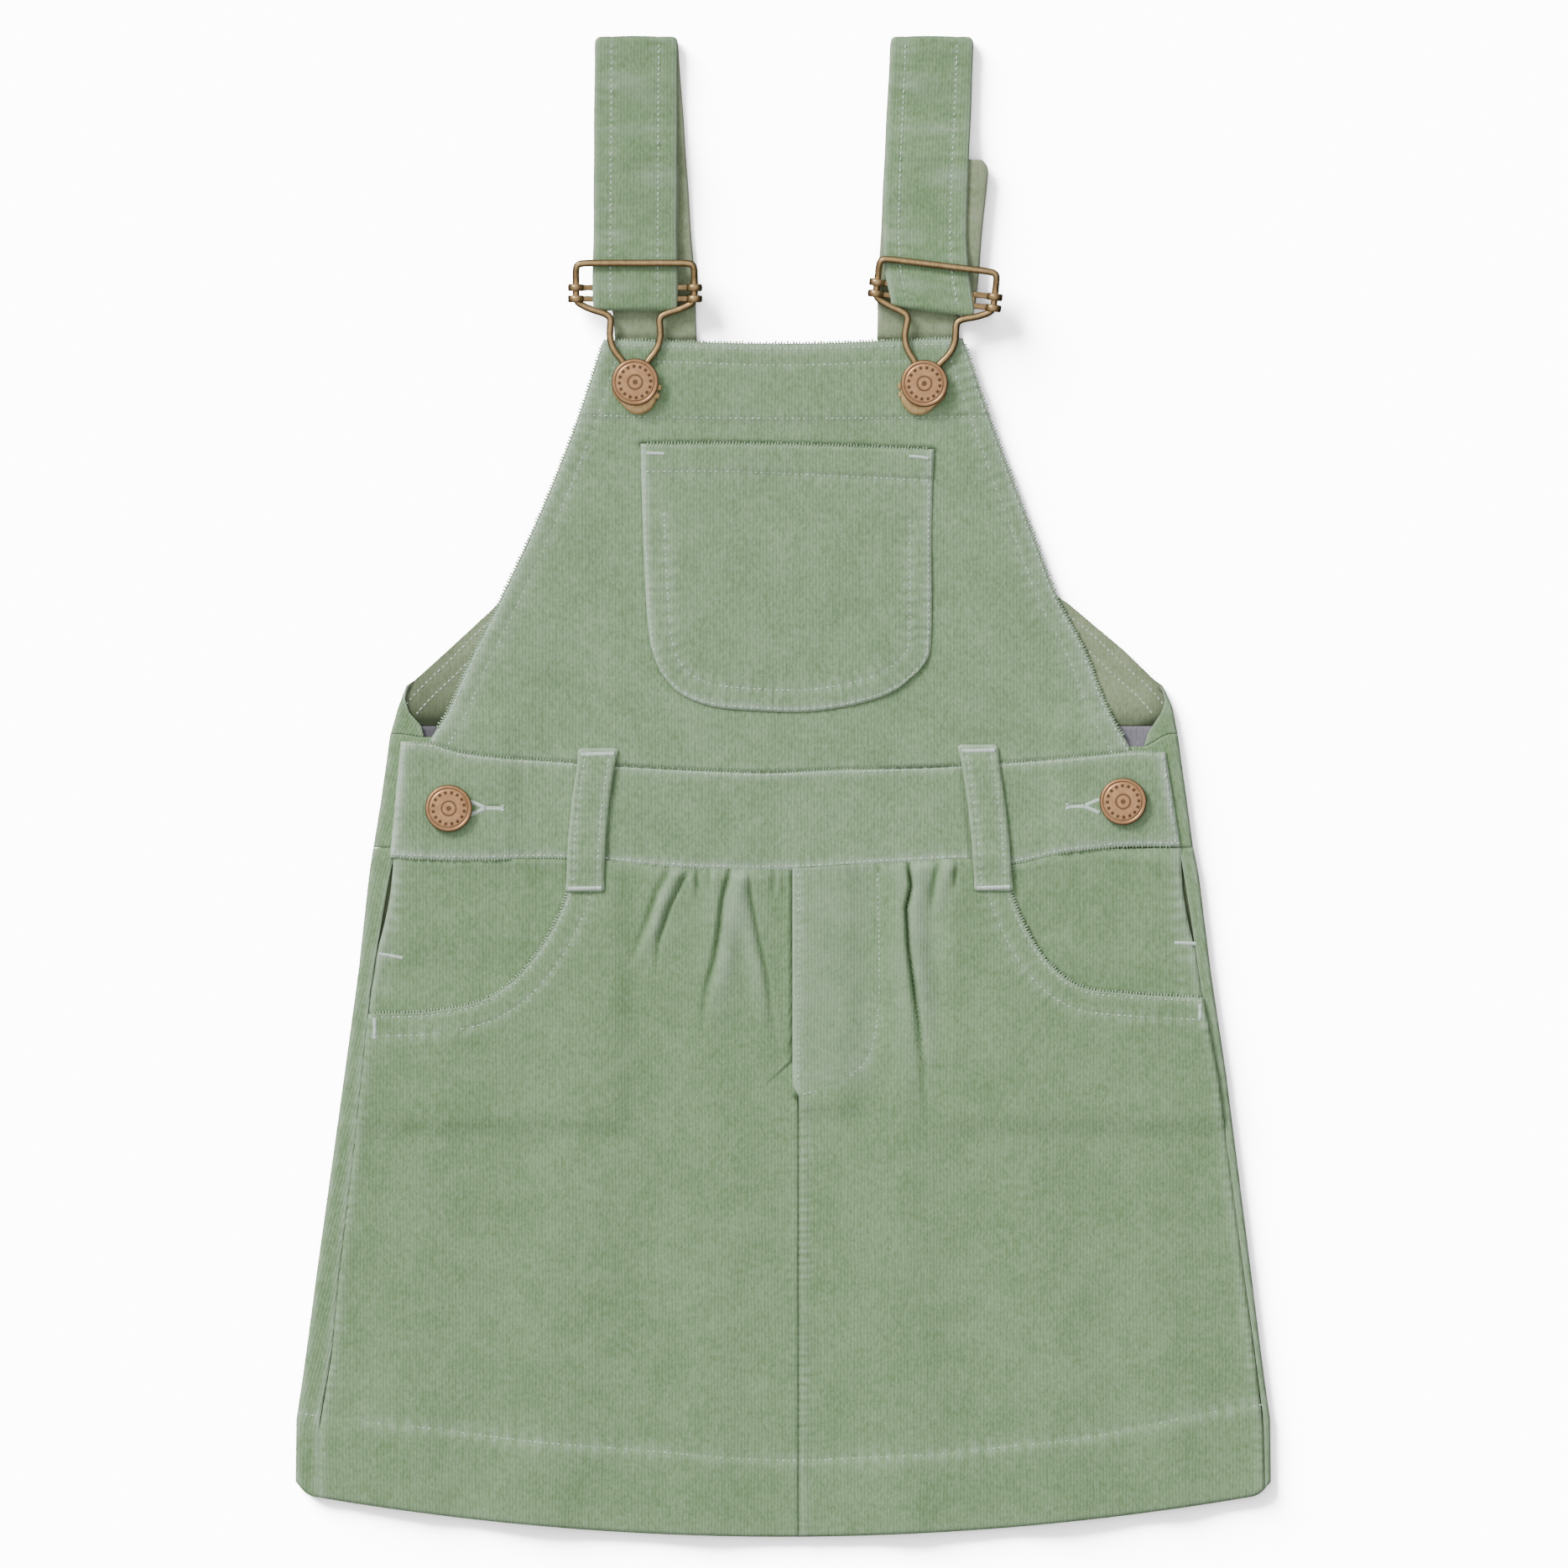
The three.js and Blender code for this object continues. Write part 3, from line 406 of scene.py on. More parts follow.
def solid_mesh(name, points, quads, materials, quad_material=None, **values):
    """A mesh from millimetre points and quads, with values at its points for its finish."""
    mesh = bpy.data.meshes.new(name)
    mesh.vertices.add(len(points))
    mesh.vertices.foreach_set("co", (np.asarray(points, float) * MM).ravel())
    quads = np.asarray(quads)
    sides = quads.shape[1]
    mesh.loops.add(quads.size)
    mesh.loops.foreach_set("vertex_index", quads.ravel())
    mesh.polygons.add(len(quads))
    mesh.polygons.foreach_set("loop_start", np.arange(0, quads.size, sides))
    mesh.polygons.foreach_set("use_smooth", np.ones(len(quads), bool))
    for material in materials:
        mesh.materials.append(material)
    if quad_material is not None:
        mesh.polygons.foreach_set("material_index", np.asarray(quad_material, np.int32))
    for label, value in values.items():
        layer = mesh.attributes.new(label, "FLOAT", "POINT")
        layer.data.foreach_set("value", np.asarray(value, float).ravel())
    mesh.update()
    mesh.validate()
    piece = bpy.data.objects.new(name, mesh)
    bpy.context.scene.collection.objects.link(piece)
    return piece


def grid_quads(rows, cols):
    start = (np.arange(rows - 1)[:, None] * cols + np.arange(cols - 1)[None, :]).ravel()
    return np.stack([start, start + cols, start + cols + 1, start + 1], axis=1)


def wall(name, upper, lower, materials, wale, wear, shade=0.0, lower_shade=0.0):
    """Closed cloth wall between two grids, joined round the rim. The second material is the lower side's."""
    rows, cols = upper.shape[:2]
    count = rows * cols
    top = grid_quads(rows, cols)
    under = grid_quads(rows, cols)[:, ::-1] + count
    rim = np.concatenate([np.arange(cols - 1), np.arange(rows - 1) * cols + cols - 1,
                          (rows - 1) * cols + np.arange(cols - 1, 0, -1), np.arange(rows - 1, 0, -1) * cols])
    after = np.roll(rim, -1)
    side = np.stack([rim, after, after + count, rim + count], axis=1)
    slots = np.concatenate([np.zeros(len(top)), np.ones(len(under)), np.zeros(len(side))])
    points = np.concatenate([upper.reshape(-1, 3), lower.reshape(-1, 3)])
    # shade and lower_shade are painted shade on the upper and the lower grid.
    shades = np.concatenate([np.broadcast_to(part, (rows, cols)).ravel() for part in (shade, lower_shade)])
    both = {"wale": np.tile(np.ravel(wale), 2), "wear": np.tile(np.ravel(wear), 2), "shade": np.clip(shades, 0, 1)}
    return solid_mesh(name, points, np.concatenate([top, under, side]), materials, slots, **both)


def settle(piece, node):
    """Stand a piece in for its solid."""
    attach(piece, "root")
    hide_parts(node)
    return piece


# Sewing: each seam is a line in plan with the puckers that it draws up

class Sewn:
    """A stitched line in plan. pucker: height of its ripples, reach: how far they spread."""

    def __init__(self, points, pucker=0.16, reach=5.0, pitch=4.2, groove=0.2, stitches=True, worn=0.5, seed=1,
                 ridge=0.0):
        self.line = np.asarray(points, float)
        self.pucker = pucker
        self.reach = reach
        self.pitch = pitch
        self.groove = groove
        self.stitches = stitches
        self.worn = worn
        self.seed = seed
        self.ridge = ridge


def sewn_relief(x, y, seams):
    """Height and wear that the sewing gives a panel."""
    height = np.zeros(np.shape(x))
    wear = np.zeros(np.shape(x))
    for seam in seams:
        away, place = near_line(x, y, seam.line)
        uneven = 0.75 + 0.5 * ripple_along(place, 37, seam.seed)
        phase = place * 2 * math.pi / seam.pitch + 1.4 * ripple_along(place, 23, seam.seed + 1)
        crest = np.sin(phase) * uneven * bell(away, seam.reach)
        height += seam.pucker * crest - seam.groove * bell(away, 0.8)
        height += seam.ridge * bell(away, 1.5)
        wear += seam.worn * (0.35 + 0.4 * np.clip(crest, -0.6, 1)) * bell(away, 0.55 * seam.reach)
    return height, wear


def painted_contact_shade(x, y, lines):
    """Painted shade where a neighbour lies on a panel. lines: line in plan, strength and half width."""
    total = np.zeros(np.shape(x))
    for line, strength, half in lines:
        away, _ = near_line(x, y, np.asarray(line, float), 6)
        total = np.maximum(total, strength * bell(away, half))
    return total


def from_rims(rows, cols, spacing):
    """How far each point of a grid lies from its top, bottom, left and right rim."""
    across = np.arange(cols)[None, :] * spacing + np.zeros((rows, 1))
    down = np.arange(rows)[:, None] * spacing + np.zeros((1, cols))
    return down, down[::-1], across, across[:, ::-1]


def rim_wear(rows, cols, spacing, sides):
    """Paleness of a panel's brushed rim. sides: share at the top, bottom, left and right."""
    total = np.zeros((rows, cols))
    for share, away in zip(sides, from_rims(rows, cols, spacing)):
        total = np.maximum(total, share * bell(away, RIM_WEAR_HALF))
    return total


def edge_profile(rows, cols, depth, width, spacing, sides=(1, 1, 1, 1)):
    """Rounds a panel's rim down over a width. sides: share at the top, bottom, left and right."""
    total = np.zeros((rows, cols))
    for share, away in zip(sides, from_rims(rows, cols, spacing)):
        inward = np.clip(away / width, 0, 1)
        total = np.maximum(total, share * depth * (1 - np.sqrt(1 - (1 - inward) ** 2)))
    return total


stitch_points = []
wale_end_points = []


CAPSULE_SIDES = 6
# Place along a stitch and share of its radius there
CAPSULE_RINGS = ((-0.5, 0.35), (-0.36, 0.9), (0, 1.0), (0.36, 0.9), (0.5, 0.35))


def capsule(radius, length):
    """Points of a small stitch along X, pressed down at its ends."""
    rings = []
    for place, size in CAPSULE_RINGS:
        lift = -radius * 2.4 * (2 * place) ** 2
        for k in range(CAPSULE_SIDES):
            angle = k * math.pi / 3
            rings.append((place * length, math.cos(angle) * radius * size, math.sin(angle) * radius * size + lift))
    return np.array(rings)


STITCH = capsule(THREAD_RADIUS, STITCH_LENGTH)
WALE_END = capsule(0.46, 1.7)
WALE_END_PITCH = 1.1


def lay_capsules(store, shape, x, y, z, aim, scales):
    """Places a small form at each point, turned to its aim, and keeps the points."""
    cos, sin = np.cos(aim)[:, None], np.sin(aim)[:, None]
    along, across, up = (shape[None, :, axis] * scales[:, axis, None] for axis in (0, 1, 2))
    placed = np.stack([x[:, None] + along * cos - across * sin, y[:, None] + along * sin + across * cos,
                       z[:, None] + up], axis=2)
    store.extend(placed)


def stations_along(line, places):
    """Points and directions at places along a line."""
    along = lengths_of(line)
    x, y = (np.interp(places, along, line[:, axis]) for axis in (0, 1))
    ahead_x, ahead_y = (np.interp(places + 0.4, along, line[:, axis]) for axis in (0, 1))
    behind_x, behind_y = (np.interp(places - 0.4, along, line[:, axis]) for axis in (0, 1))
    return x, y, np.arctan2(ahead_y - behind_y, ahead_x - behind_x)


def stitch_along(line, top_height, pitch=STITCH_PITCH):
    """Lays stitches on a surface along a line in plan."""
    line = np.asarray(line, float)
    length = lengths_of(line)[-1]
    count = max(1, int(length / pitch))
    x, y, aim = stations_along(line, (np.arange(count) + 0.5) * length / count)
    scales = np.ones((count, 3)) * rng.uniform(0.85, 1.1, (count, 1))
    z = top_height(x, y) + rng.normal(0.02, 0.08, count)
    lay_capsules(stitch_points, STITCH, x, y, z, aim + rng.normal(0, 0.07, count), scales)


def satin_bar(line, top_height, width):
    """A bartack: close stitches across a short line."""
    line = spaced(line, 30)
    length = lengths_of(line)[-1]
    count = max(2, int(length / SATIN_PITCH))
    x, y, aim = stations_along(line, (np.arange(count) + 0.5) * length / count)
    scales = np.tile([width / STITCH_LENGTH, 1.15, 0.8], (count, 1))
    aim = aim + math.pi / 2 + rng.normal(0, 0.12, count)
    lay_capsules(stitch_points, STITCH, x, y, top_height(x, y) + 0.2, aim, scales)


def wale_ends(line, inward, top_height, share=0.8):
    """Rib ends standing along a turned edge. inward is 1 where the cloth lies to the right along the line."""
    length = lengths_of(line)[-1]
    count = int(length / WALE_END_PITCH)
    x, y, aim = stations_along(line, (np.arange(count) + 0.5 + rng.uniform(-0.12, 0.12, count)) * length / count)
    aim = aim - inward * math.pi / 2
    size = rng.uniform(0.8, 1.15, count)
    reach = 0.15 + rng.uniform(-0.3, 0.2, count)
    z = top_height(x + 1.5 * np.cos(aim), y + 1.5 * np.sin(aim)) - 0.4
    scales = np.stack([size, np.full(count, share), size], axis=1)
    lay_capsules(wale_end_points, WALE_END, x + reach * np.cos(aim), y + reach * np.sin(aim), z, aim, scales)


def sew(seams, top_height):
    for seam in seams:
        if seam.stitches:
            stitch_along(seam.line, top_height)


def join_capsules(name, placed, material, wear=0.0):
    """Makes one piece of the stitches or rib ends laid so far."""
    quads = []
    for ring in range(len(CAPSULE_RINGS) - 1):
        for k in range(CAPSULE_SIDES):
            here, after = ring * CAPSULE_SIDES + k, ring * CAPSULE_SIDES + (k + 1) % CAPSULE_SIDES
            quads.append((here, after, after + CAPSULE_SIDES, here + CAPSULE_SIDES))
    quads = np.array(quads)
    every = np.concatenate([quads + len(STITCH) * n for n in range(len(placed))])
    points = np.concatenate(placed)
    wale = np.full(len(points), WALE_PITCH / 4)
    piece = solid_mesh(name, points, every, [material], wale=wale, wear=np.full(len(points), wear))
    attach(piece, "root")


# Front skirt

# Creases under the waistband: line in plan, trough depth and half width, ridge side, ridge height and half width
CREASES = [
    ([(-42.1, -31), (-46.2, -38.4), (-50.2, -50.6), (-56.3, -66)], 1.3, 1.0, 1, 1.2, 2.2),
    ([(-35, -31), (-41.1, -43.5), (-45.2, -55.6), (-46.5, -70)], 1.3, 0.8, -1, 0.7, 2.0),
    ([(-31.5, -30), (-31, -41)], 1.2, 0.8, -1, 0.7, 1.6),
    ([(-27.5, -30), (-26.8, -37)], 0.8, 0.8, 1, 0.7, 1.6),
    ([(-19.8, -31), (-22.3, -41.4), (-23.3, -51.6), (-24.9, -61.7), (-27.9, -73.9), (-30, -94)],
     2.1, 1.0, 1, 1.3, 4.0),
    ([(-12, -38), (-11.2, -43.5), (-8.6, -56.6), (-5.6, -69.8), (-4.1, -84), (-0.5, -100)], 1.1, 0.8, -1, 0.8, 3.0),
    ([(-3.6, -31), (-3.2, -41)], 1.2, 0.7, 1, 0.8, 1.5),
    ([(45.7, -29), (46.7, -36.4), (44.9, -44.5), (45.7, -58.7), (47.7, -73.9), (49.2, -86.1), (50.7, -101.3),
      (52.4, -124)], 3.2, 0.75, 1, 1.2, 3.4),
    ([(56.3, -28), (54.8, -36.4), (53.8, -48)], 1.3, 0.9, 1, 0.9, 2.2),
    ([(63.4, -28), (62.4, -38)], 1.1, 0.8, -1, 0.8, 1.8),
    ([(34.3, -29), (36.5, -32.5)], 0.7, 0.7, 1, 0.4, 1.4),
]
# Puffed cloth between the creases: middle, half width and half height, height
SWELLS = [(-44, -40, 12, 34, 1.0), (-22, -46, 9, 44, 1.3), (-9, -48, 7, 46, 0.9), (46, -52, 8, 62, 1.7),
          (58, -40, 9, 44, 0.9)]
HEM_LINE = [(-175.5, -229), (-152.5, -232), (-126, -234.5), (-100, -238), (-75, -240.5), (-53, -242), (-19.5, -245),
            (6, -246), (26, -245), (58, -243.5), (85, -240.5), (105.5, -238.5), (131.5, -233.5), (152.5, -229),
            (175, -225.5)]
FLY_LINE = [(34.5, -31), (34.5, -84), (31, -99), (24.5, -105.5), (15.5, -110), (6.8, -112.5)]


def crease_height(x, y):
    height = np.zeros(np.shape(x))
    for line, depth, half, side, ridge, ridge_half in CREASES:
        points = np.array(line, float)[::-1]
        away = x - np.interp(y, points[:, 1], points[:, 0])
        t = (line[0][1] - y) / (line[0][1] - line[-1][1])
        fade = (1 - smooth(0.45, 1.08, t)) * smooth(-0.3, 0.02, t)
        height -= depth * fade * bell(away, half)
        height += ridge * fade * bell(away - side * (half + ridge_half * 0.8), ridge_half)
    for middle_x, middle_y, half_x, half_y, high in SWELLS:
        height += high * np.exp(-(((x - middle_x) / half_x) ** 2) - ((y - middle_y) / half_y) ** 2)
    return height


# Painted shade along the crease troughs, darker for deeper creases.
def painted_crease_shade(x, y):
    shade = np.zeros(np.shape(x))
    for line, depth, half, *_ in CREASES:
        points = np.array(line, float)[::-1]
        away = x - np.interp(y, points[:, 1], points[:, 0])
        t = (line[0][1] - y) / (line[0][1] - line[-1][1])
        fade = (1 - smooth(0.35, 1.0, t)) * smooth(-0.1, 0.05, t)
        strength = min(0.85, 0.3 * depth)
        line_part = strength * bell(away, 0.42 * half + 0.22)
        soft_part = 0.06 * depth * bell(away, 2.2 * half + 1)
        shade = np.maximum(shade, fade * (line_part + soft_part))
    return shade


def wave_height(x, y):
    t = (y + 30) / (HEM_LOW + 30)
    fade = smooth(0.12, 0.55, t)
    height = np.zeros(np.shape(x))
    for head, foot, half, high in WAVES:
        height += high * fade * bell(x - mix(head, foot, t), half)
    return height


def over_bag(x, y):
    side = np.abs(x)
    return smooth(BAG_INNER - 15, BAG_INNER - 5, side) * smooth(BAG_BOTTOM - 16, BAG_BOTTOM - 6, y)


def over_lap(x, y):
    return (1 - smooth(LAP_UNDER + 1, LAP_UNDER + 12, x)) * smooth(LAP_FOOT - 14, LAP_FOOT - 5, y)


def skirt_low(x, y, lapped):
    seam = np.where(x < 0, column(SEAMS, 1, y), column(SEAMS, 2, y))
    free = smooth(0, 12, np.abs(seam) - np.abs(x))
    lift = np.maximum(over_bag(x, y), over_lap(x, y) if lapped else 0)
    under = 1.0 if lapped else 1 - smooth(LAP_EDGE - 6, LAP_EDGE - 1, x) * smooth(LAP_FOOT - 5, LAP_FOOT, y)
    below_band = height_on(BAND_BOTTOM, x) - y
    gathered = crease_height(x, y) * smooth(-1.0, 3.2, below_band)
    folds = (gathered + wave_height(x, y)) * free * under
    return FRONT_LOW + lift * (OVER_LOW - FRONT_LOW) + np.maximum(folds, -0.3)


def seam_line(side, from_y, to_y, count, inset):
    y = np.linspace(from_y, to_y, count + 1)
    return np.stack([column(SEAMS, 1 if side == "left" else 2, y) + inset, y], axis=1)


def front_skirt(side):
    is_left = side == "left"
    scoop = SCOOP_LEFT if is_left else SCOOP_RIGHT
    inset = -TUCK if is_left else TUCK
    scoop_rows, seam_rows, cols = 80, 140, 130
    seam_top = scoop[-1][1]
    hem_x = float(column(SEAMS, 1 if is_left else 2, hem_height(175)) + inset)
    outer = spaced(scoop, scoop_rows)
    outer[0, 1] = height_on(BAND_BOTTOM, outer[0, 0]) + UNDER_BAND
    outer[-1] = [float(column(SEAMS, 1 if is_left else 2, seam_top)) + inset, seam_top]
    outer = np.vstack([outer, seam_line(side, seam_top, hem_height(hem_x), seam_rows, inset)[1:]])
    laps = LAP_UNDER if is_left else LAP_EDGE
    seam_x = LAP_SEAM + (TUCK if is_left else -TUCK)
    lap_foot = LAP_FOOT + 8 if is_left else LAP_FOOT
    inner_top = float(height_on(BAND_BOTTOM, laps)) + UNDER_BAND
    inner = np.vstack([
        spaced([(laps, inner_top), (laps, lap_foot)], scoop_rows),
        spaced([(seam_x, LAP_FOOT - 4), (seam_x, hem_height(seam_x))], seam_rows - 1),
    ])
    top = stretch_of(BAND_BOTTOM, outer[0, 0], laps, cols, -UNDER_BAND)
    hem_points = np.linspace(hem_x, seam_x, cols + 1)
    bottom = np.stack([hem_points, hem_height(hem_points)], axis=1)
    if is_left:
        grid = between(top, bottom, outer, inner)
    else:
        grid = between(top[::-1], bottom[::-1], inner, outer)
    x, y = grid[..., 0], grid[..., 1]
    scoop_line = outer[: scoop_rows + 1]
    inward = 1 if is_left else -1
    first = beside(scoop_line, -inward * 1.3)
    second = beside(scoop_line[6:], -inward * 8.2)
    middle = LAP_SEAM if is_left else LAP_EDGE
    hem_side = [p for p in HEM_LINE if (p[0] < 6) == is_left]
    hem_side = hem_side + [(LAP_SEAM - 0.5, -246)] if is_left else [(LAP_SEAM + 0.5, -246)] + hem_side[1:]
    hem_side = [p for p in hem_side if abs(p[0]) < abs(hem_x)]
    seams = [
        Sewn(first, 0.1, 3.5, 3.4, seed=3),
        Sewn(second, 0.18, 4.5, 4.4, seed=5),
        Sewn(curve_through(hem_side, 12), 0.14, 6, 5.2, seed=7),
        Sewn(inner[scoop_rows + 4:] + [-1.4 if is_left else 1.8, 0], 0.12 if is_left else 0.32, 4.5, 3.1, 0, False,
             0.2 if is_left else 0.6, 9, 0.05 if is_left else 0.35),
        Sewn(outer[scoop_rows + 2:] + [inward * 1.2, 0], 0.16, 3.6, 3.6, 0, False, 0.6, 11, 0.25),
        Sewn(top[2:-2] - [0, 0.8], 0.12, 4, 3.4, 0, False, 0.35, 13),
    ]
    if not is_left:
        lap_line = np.array([(LAP_EDGE + 2.2, -31.5), (LAP_EDGE + 2.2, -111)])
        seams.append(Sewn(spaced(lap_line, 40), 0.12, 3.5, 3.2, seed=15))
        seams.append(Sewn(spaced(FLY_LINE, 60), 0.1, 4, 4, seed=17, worn=0.3))

    def top_height(px, py):
        relief, _ = sewn_relief(px, py, seams)
        hem_row = np.interp(px, [p[0] for p in HEM_LINE], [p[1] for p in HEM_LINE])
        hem_step = 0.45 * (1 - smooth(-1.2, 0.4, py - hem_row))
        return skirt_low(px, py, not is_left) + CLOTH + relief + hem_step + 0.12 * ripple(px, py, 22, 4)

    _, wear = sewn_relief(x, y, seams)
    folds = crease_height(x, y)
    wear = wear + 0.2 * np.clip(folds - 0.4, 0, 2)
    if not is_left:
        wear = wear + 0.2 * (1 - smooth(29, 35, x)) * smooth(LAP_FOOT - 4, LAP_FOOT + 3, y)
    # Painted shade under the waistband, along the centre seam and the lap edge, beside the belt loops and in the crease
    # troughs.
    band_edge = spaced(BAND_BOTTOM, 120)
    centre = np.array([(LAP_SEAM, LAP_FOOT - 2), (LAP_SEAM, HEM_LOW)])
    contacts = [(band_edge, 0.12, 0.9), (centre, 0.4, 0.6)]
    if is_left:
        contacts.append(([(LAP_EDGE - 0.5, -30), (LAP_EDGE - 0.5, LAP_FOOT - 2), (LAP_SEAM, LAP_FOOT - 6)], 0.85, 0.7))
    loop_x = -72.3 if is_left else 76.8
    contacts += [([(loop_x + part, -26), (loop_x + part, -38)], 0.35, 0.9) for part in (-LOOP_HALF, LOOP_HALF)]
    shade = painted_contact_shade(x, y, contacts) + painted_crease_shade(x, y)
    row_of = np.arange(len(outer))[:, None]
    on_scoop = 0.45 * (row_of <= scoop_rows)
    wear = wear + rim_wear(*x.shape, 1.2, (0, 0.2, on_scoop, on_scoop))
    scoop_share = np.where(row_of <= scoop_rows, 1.0, SEAM_SHARE)
    lap_share = np.where(row_of <= scoop_rows, 1.0, SEAM_SHARE)
    shares = (0, 0.8, scoop_share, lap_share) if is_left else (0, 0.8, lap_share, scoop_share)
    height = top_height(x, y) - edge_profile(*x.shape, depth=0.75, width=1.3, spacing=1.2, sides=shares)
    upper = np.dstack([x, y, height])
    lower = np.dstack([x, y, np.minimum(skirt_low(x, y, not is_left) + 0.02, height - 0.25)])
    wale = x + 0.25 * ripple(x, y, 40, 21)
    piece = wall(f"front_skirt_{side}_cloth", upper, lower, [SAGE, SAGE_BACK], wale, wear, shade)
    settle(piece, f"front_skirt_{side}")
    sew(seams, top_height)
    bar = [(-149, -84.6), (-149, -92)] if is_left else [(152.2, -79.5), (152.2, -85)]
    satin_bar(bar, top_height, 1.6)
    wale_ends(scoop_line[3:-1], inward, top_height)
    return piece


def pocket_bag(side):
    is_left = side == "left"
    sign = -1 if is_left else 1
    rows, cols = 70, 64
    seam_column = 1 if is_left else 2
    y = np.linspace(-28, -96, rows + 1)
    placket = 1.3 * np.sin(math.pi * np.clip((-26 - y) / 34, 0, 1))
    tuck = smooth(-84, -92, y) * 5
    outer = np.stack([column(SEAMS, seam_column, y) - sign * (TUCK + placket + tuck), y], axis=1)

    def under_band(x):
        return np.minimum(height_on(BAND_BOTTOM, x) + UNDER_BAND, BAND_BACK_BOTTOM - TUCK)

    outer[0, 1] = under_band(outer[0, 0])
    inner = spaced([(sign * BAG_INNER, float(height_on(BAND_BOTTOM, sign * BAG_INNER)) - SEAM), (sign * BAG_INNER, -70),
                    (sign * (BAG_INNER + 4), -94), (sign * (BAG_INNER + 14), -106)], rows)
    across = np.linspace(outer[0, 0], inner[0, 0], cols + 1)
    top = np.stack([across, under_band(across)], axis=1)
    bottom = spaced([tuple(outer[-1]), (sign * 132, -109), (sign * 108, -112), tuple(inner[-1])], cols)
    if is_left:
        grid = between(top, bottom, outer, inner)
    else:
        grid = between(top[::-1], bottom[::-1], inner, outer)
    x, y = grid[..., 0], grid[..., 1]
    seams = [
        Sewn(outer[1:36] - [sign * 2.6, 0], 0.14, 4.5, 4.6, 0, False, 0.5, 31),
        Sewn(top[2:-2] - [0, 1.0], 0.12, 4, 3.2, 0, False, 0.4, 33),
        Sewn(np.array([(sign * 142.2, -48), (sign * 143.3, -60), (sign * 145.1, -75)], float), 0.15, 4, 3.6, 0.3,
             True, 0.4, 35),
    ]

    def top_height(px, py):
        relief, _ = sewn_relief(px, py, seams)
        raised = 1.3 * np.exp(-np.maximum(under_band(px) - py, 0) / 3.0)
        drag = 0.3 * ripple(px * 0.4, py, 17, 36) * smooth(-28, -40, py)
        return FRONT_LOW + CLOTH + relief + 0.15 * ripple(px, py, 18, 35) + drag - 0.15 + raised

    _, wear = sewn_relief(x, y, seams)
    wear = wear + 0.6 * rim_wear(*x.shape, 1.1, (0, 0, 1, 0) if is_left else (0, 0, 0, 1))
    scoop = spaced(SCOOP_LEFT if is_left else SCOOP_RIGHT, 60)
    # Painted shade along the scoop edge and under the waistband.
    shade = painted_contact_shade(x, y, [(scoop, 0.35, 0.9), (spaced(BAND_BOTTOM, 120), 0.1, 1.2)])
    shares = (0, 1, 0.7, 0) if is_left else (0, 1, 0, 0.7)
    height = top_height(x, y) - edge_profile(*x.shape, depth=0.7, width=1.3, spacing=1.1, sides=shares)
    upper = np.dstack([x, y, height])
    lower = np.dstack([x, y, np.full(x.shape, FRONT_LOW)])
    piece = wall(f"pocket_bag_{side}_cloth", upper, lower, [SAGE, SAGE_BACK], x, wear, shade)
    bar = [(142.8, -57), (147, -57.2), (150.6, -57.4)]
    if is_left:
        bar = [(-147.5, -61.2), (-143, -61.8), (-138.8, -62.6)]
    satin_bar(bar, top_height, 1.5)
    return settle(piece, f"pocket_bag_{side}")


# Waistband, bib, pocket and belt loops

def end_lift(x):
    return smooth(BAND_BACK_REACH - 10, BAND_BACK_REACH - 1, np.abs(x))


def band_low(x, y):
    return mix(FRONT_LOW, OVER_LOW, end_lift(x))


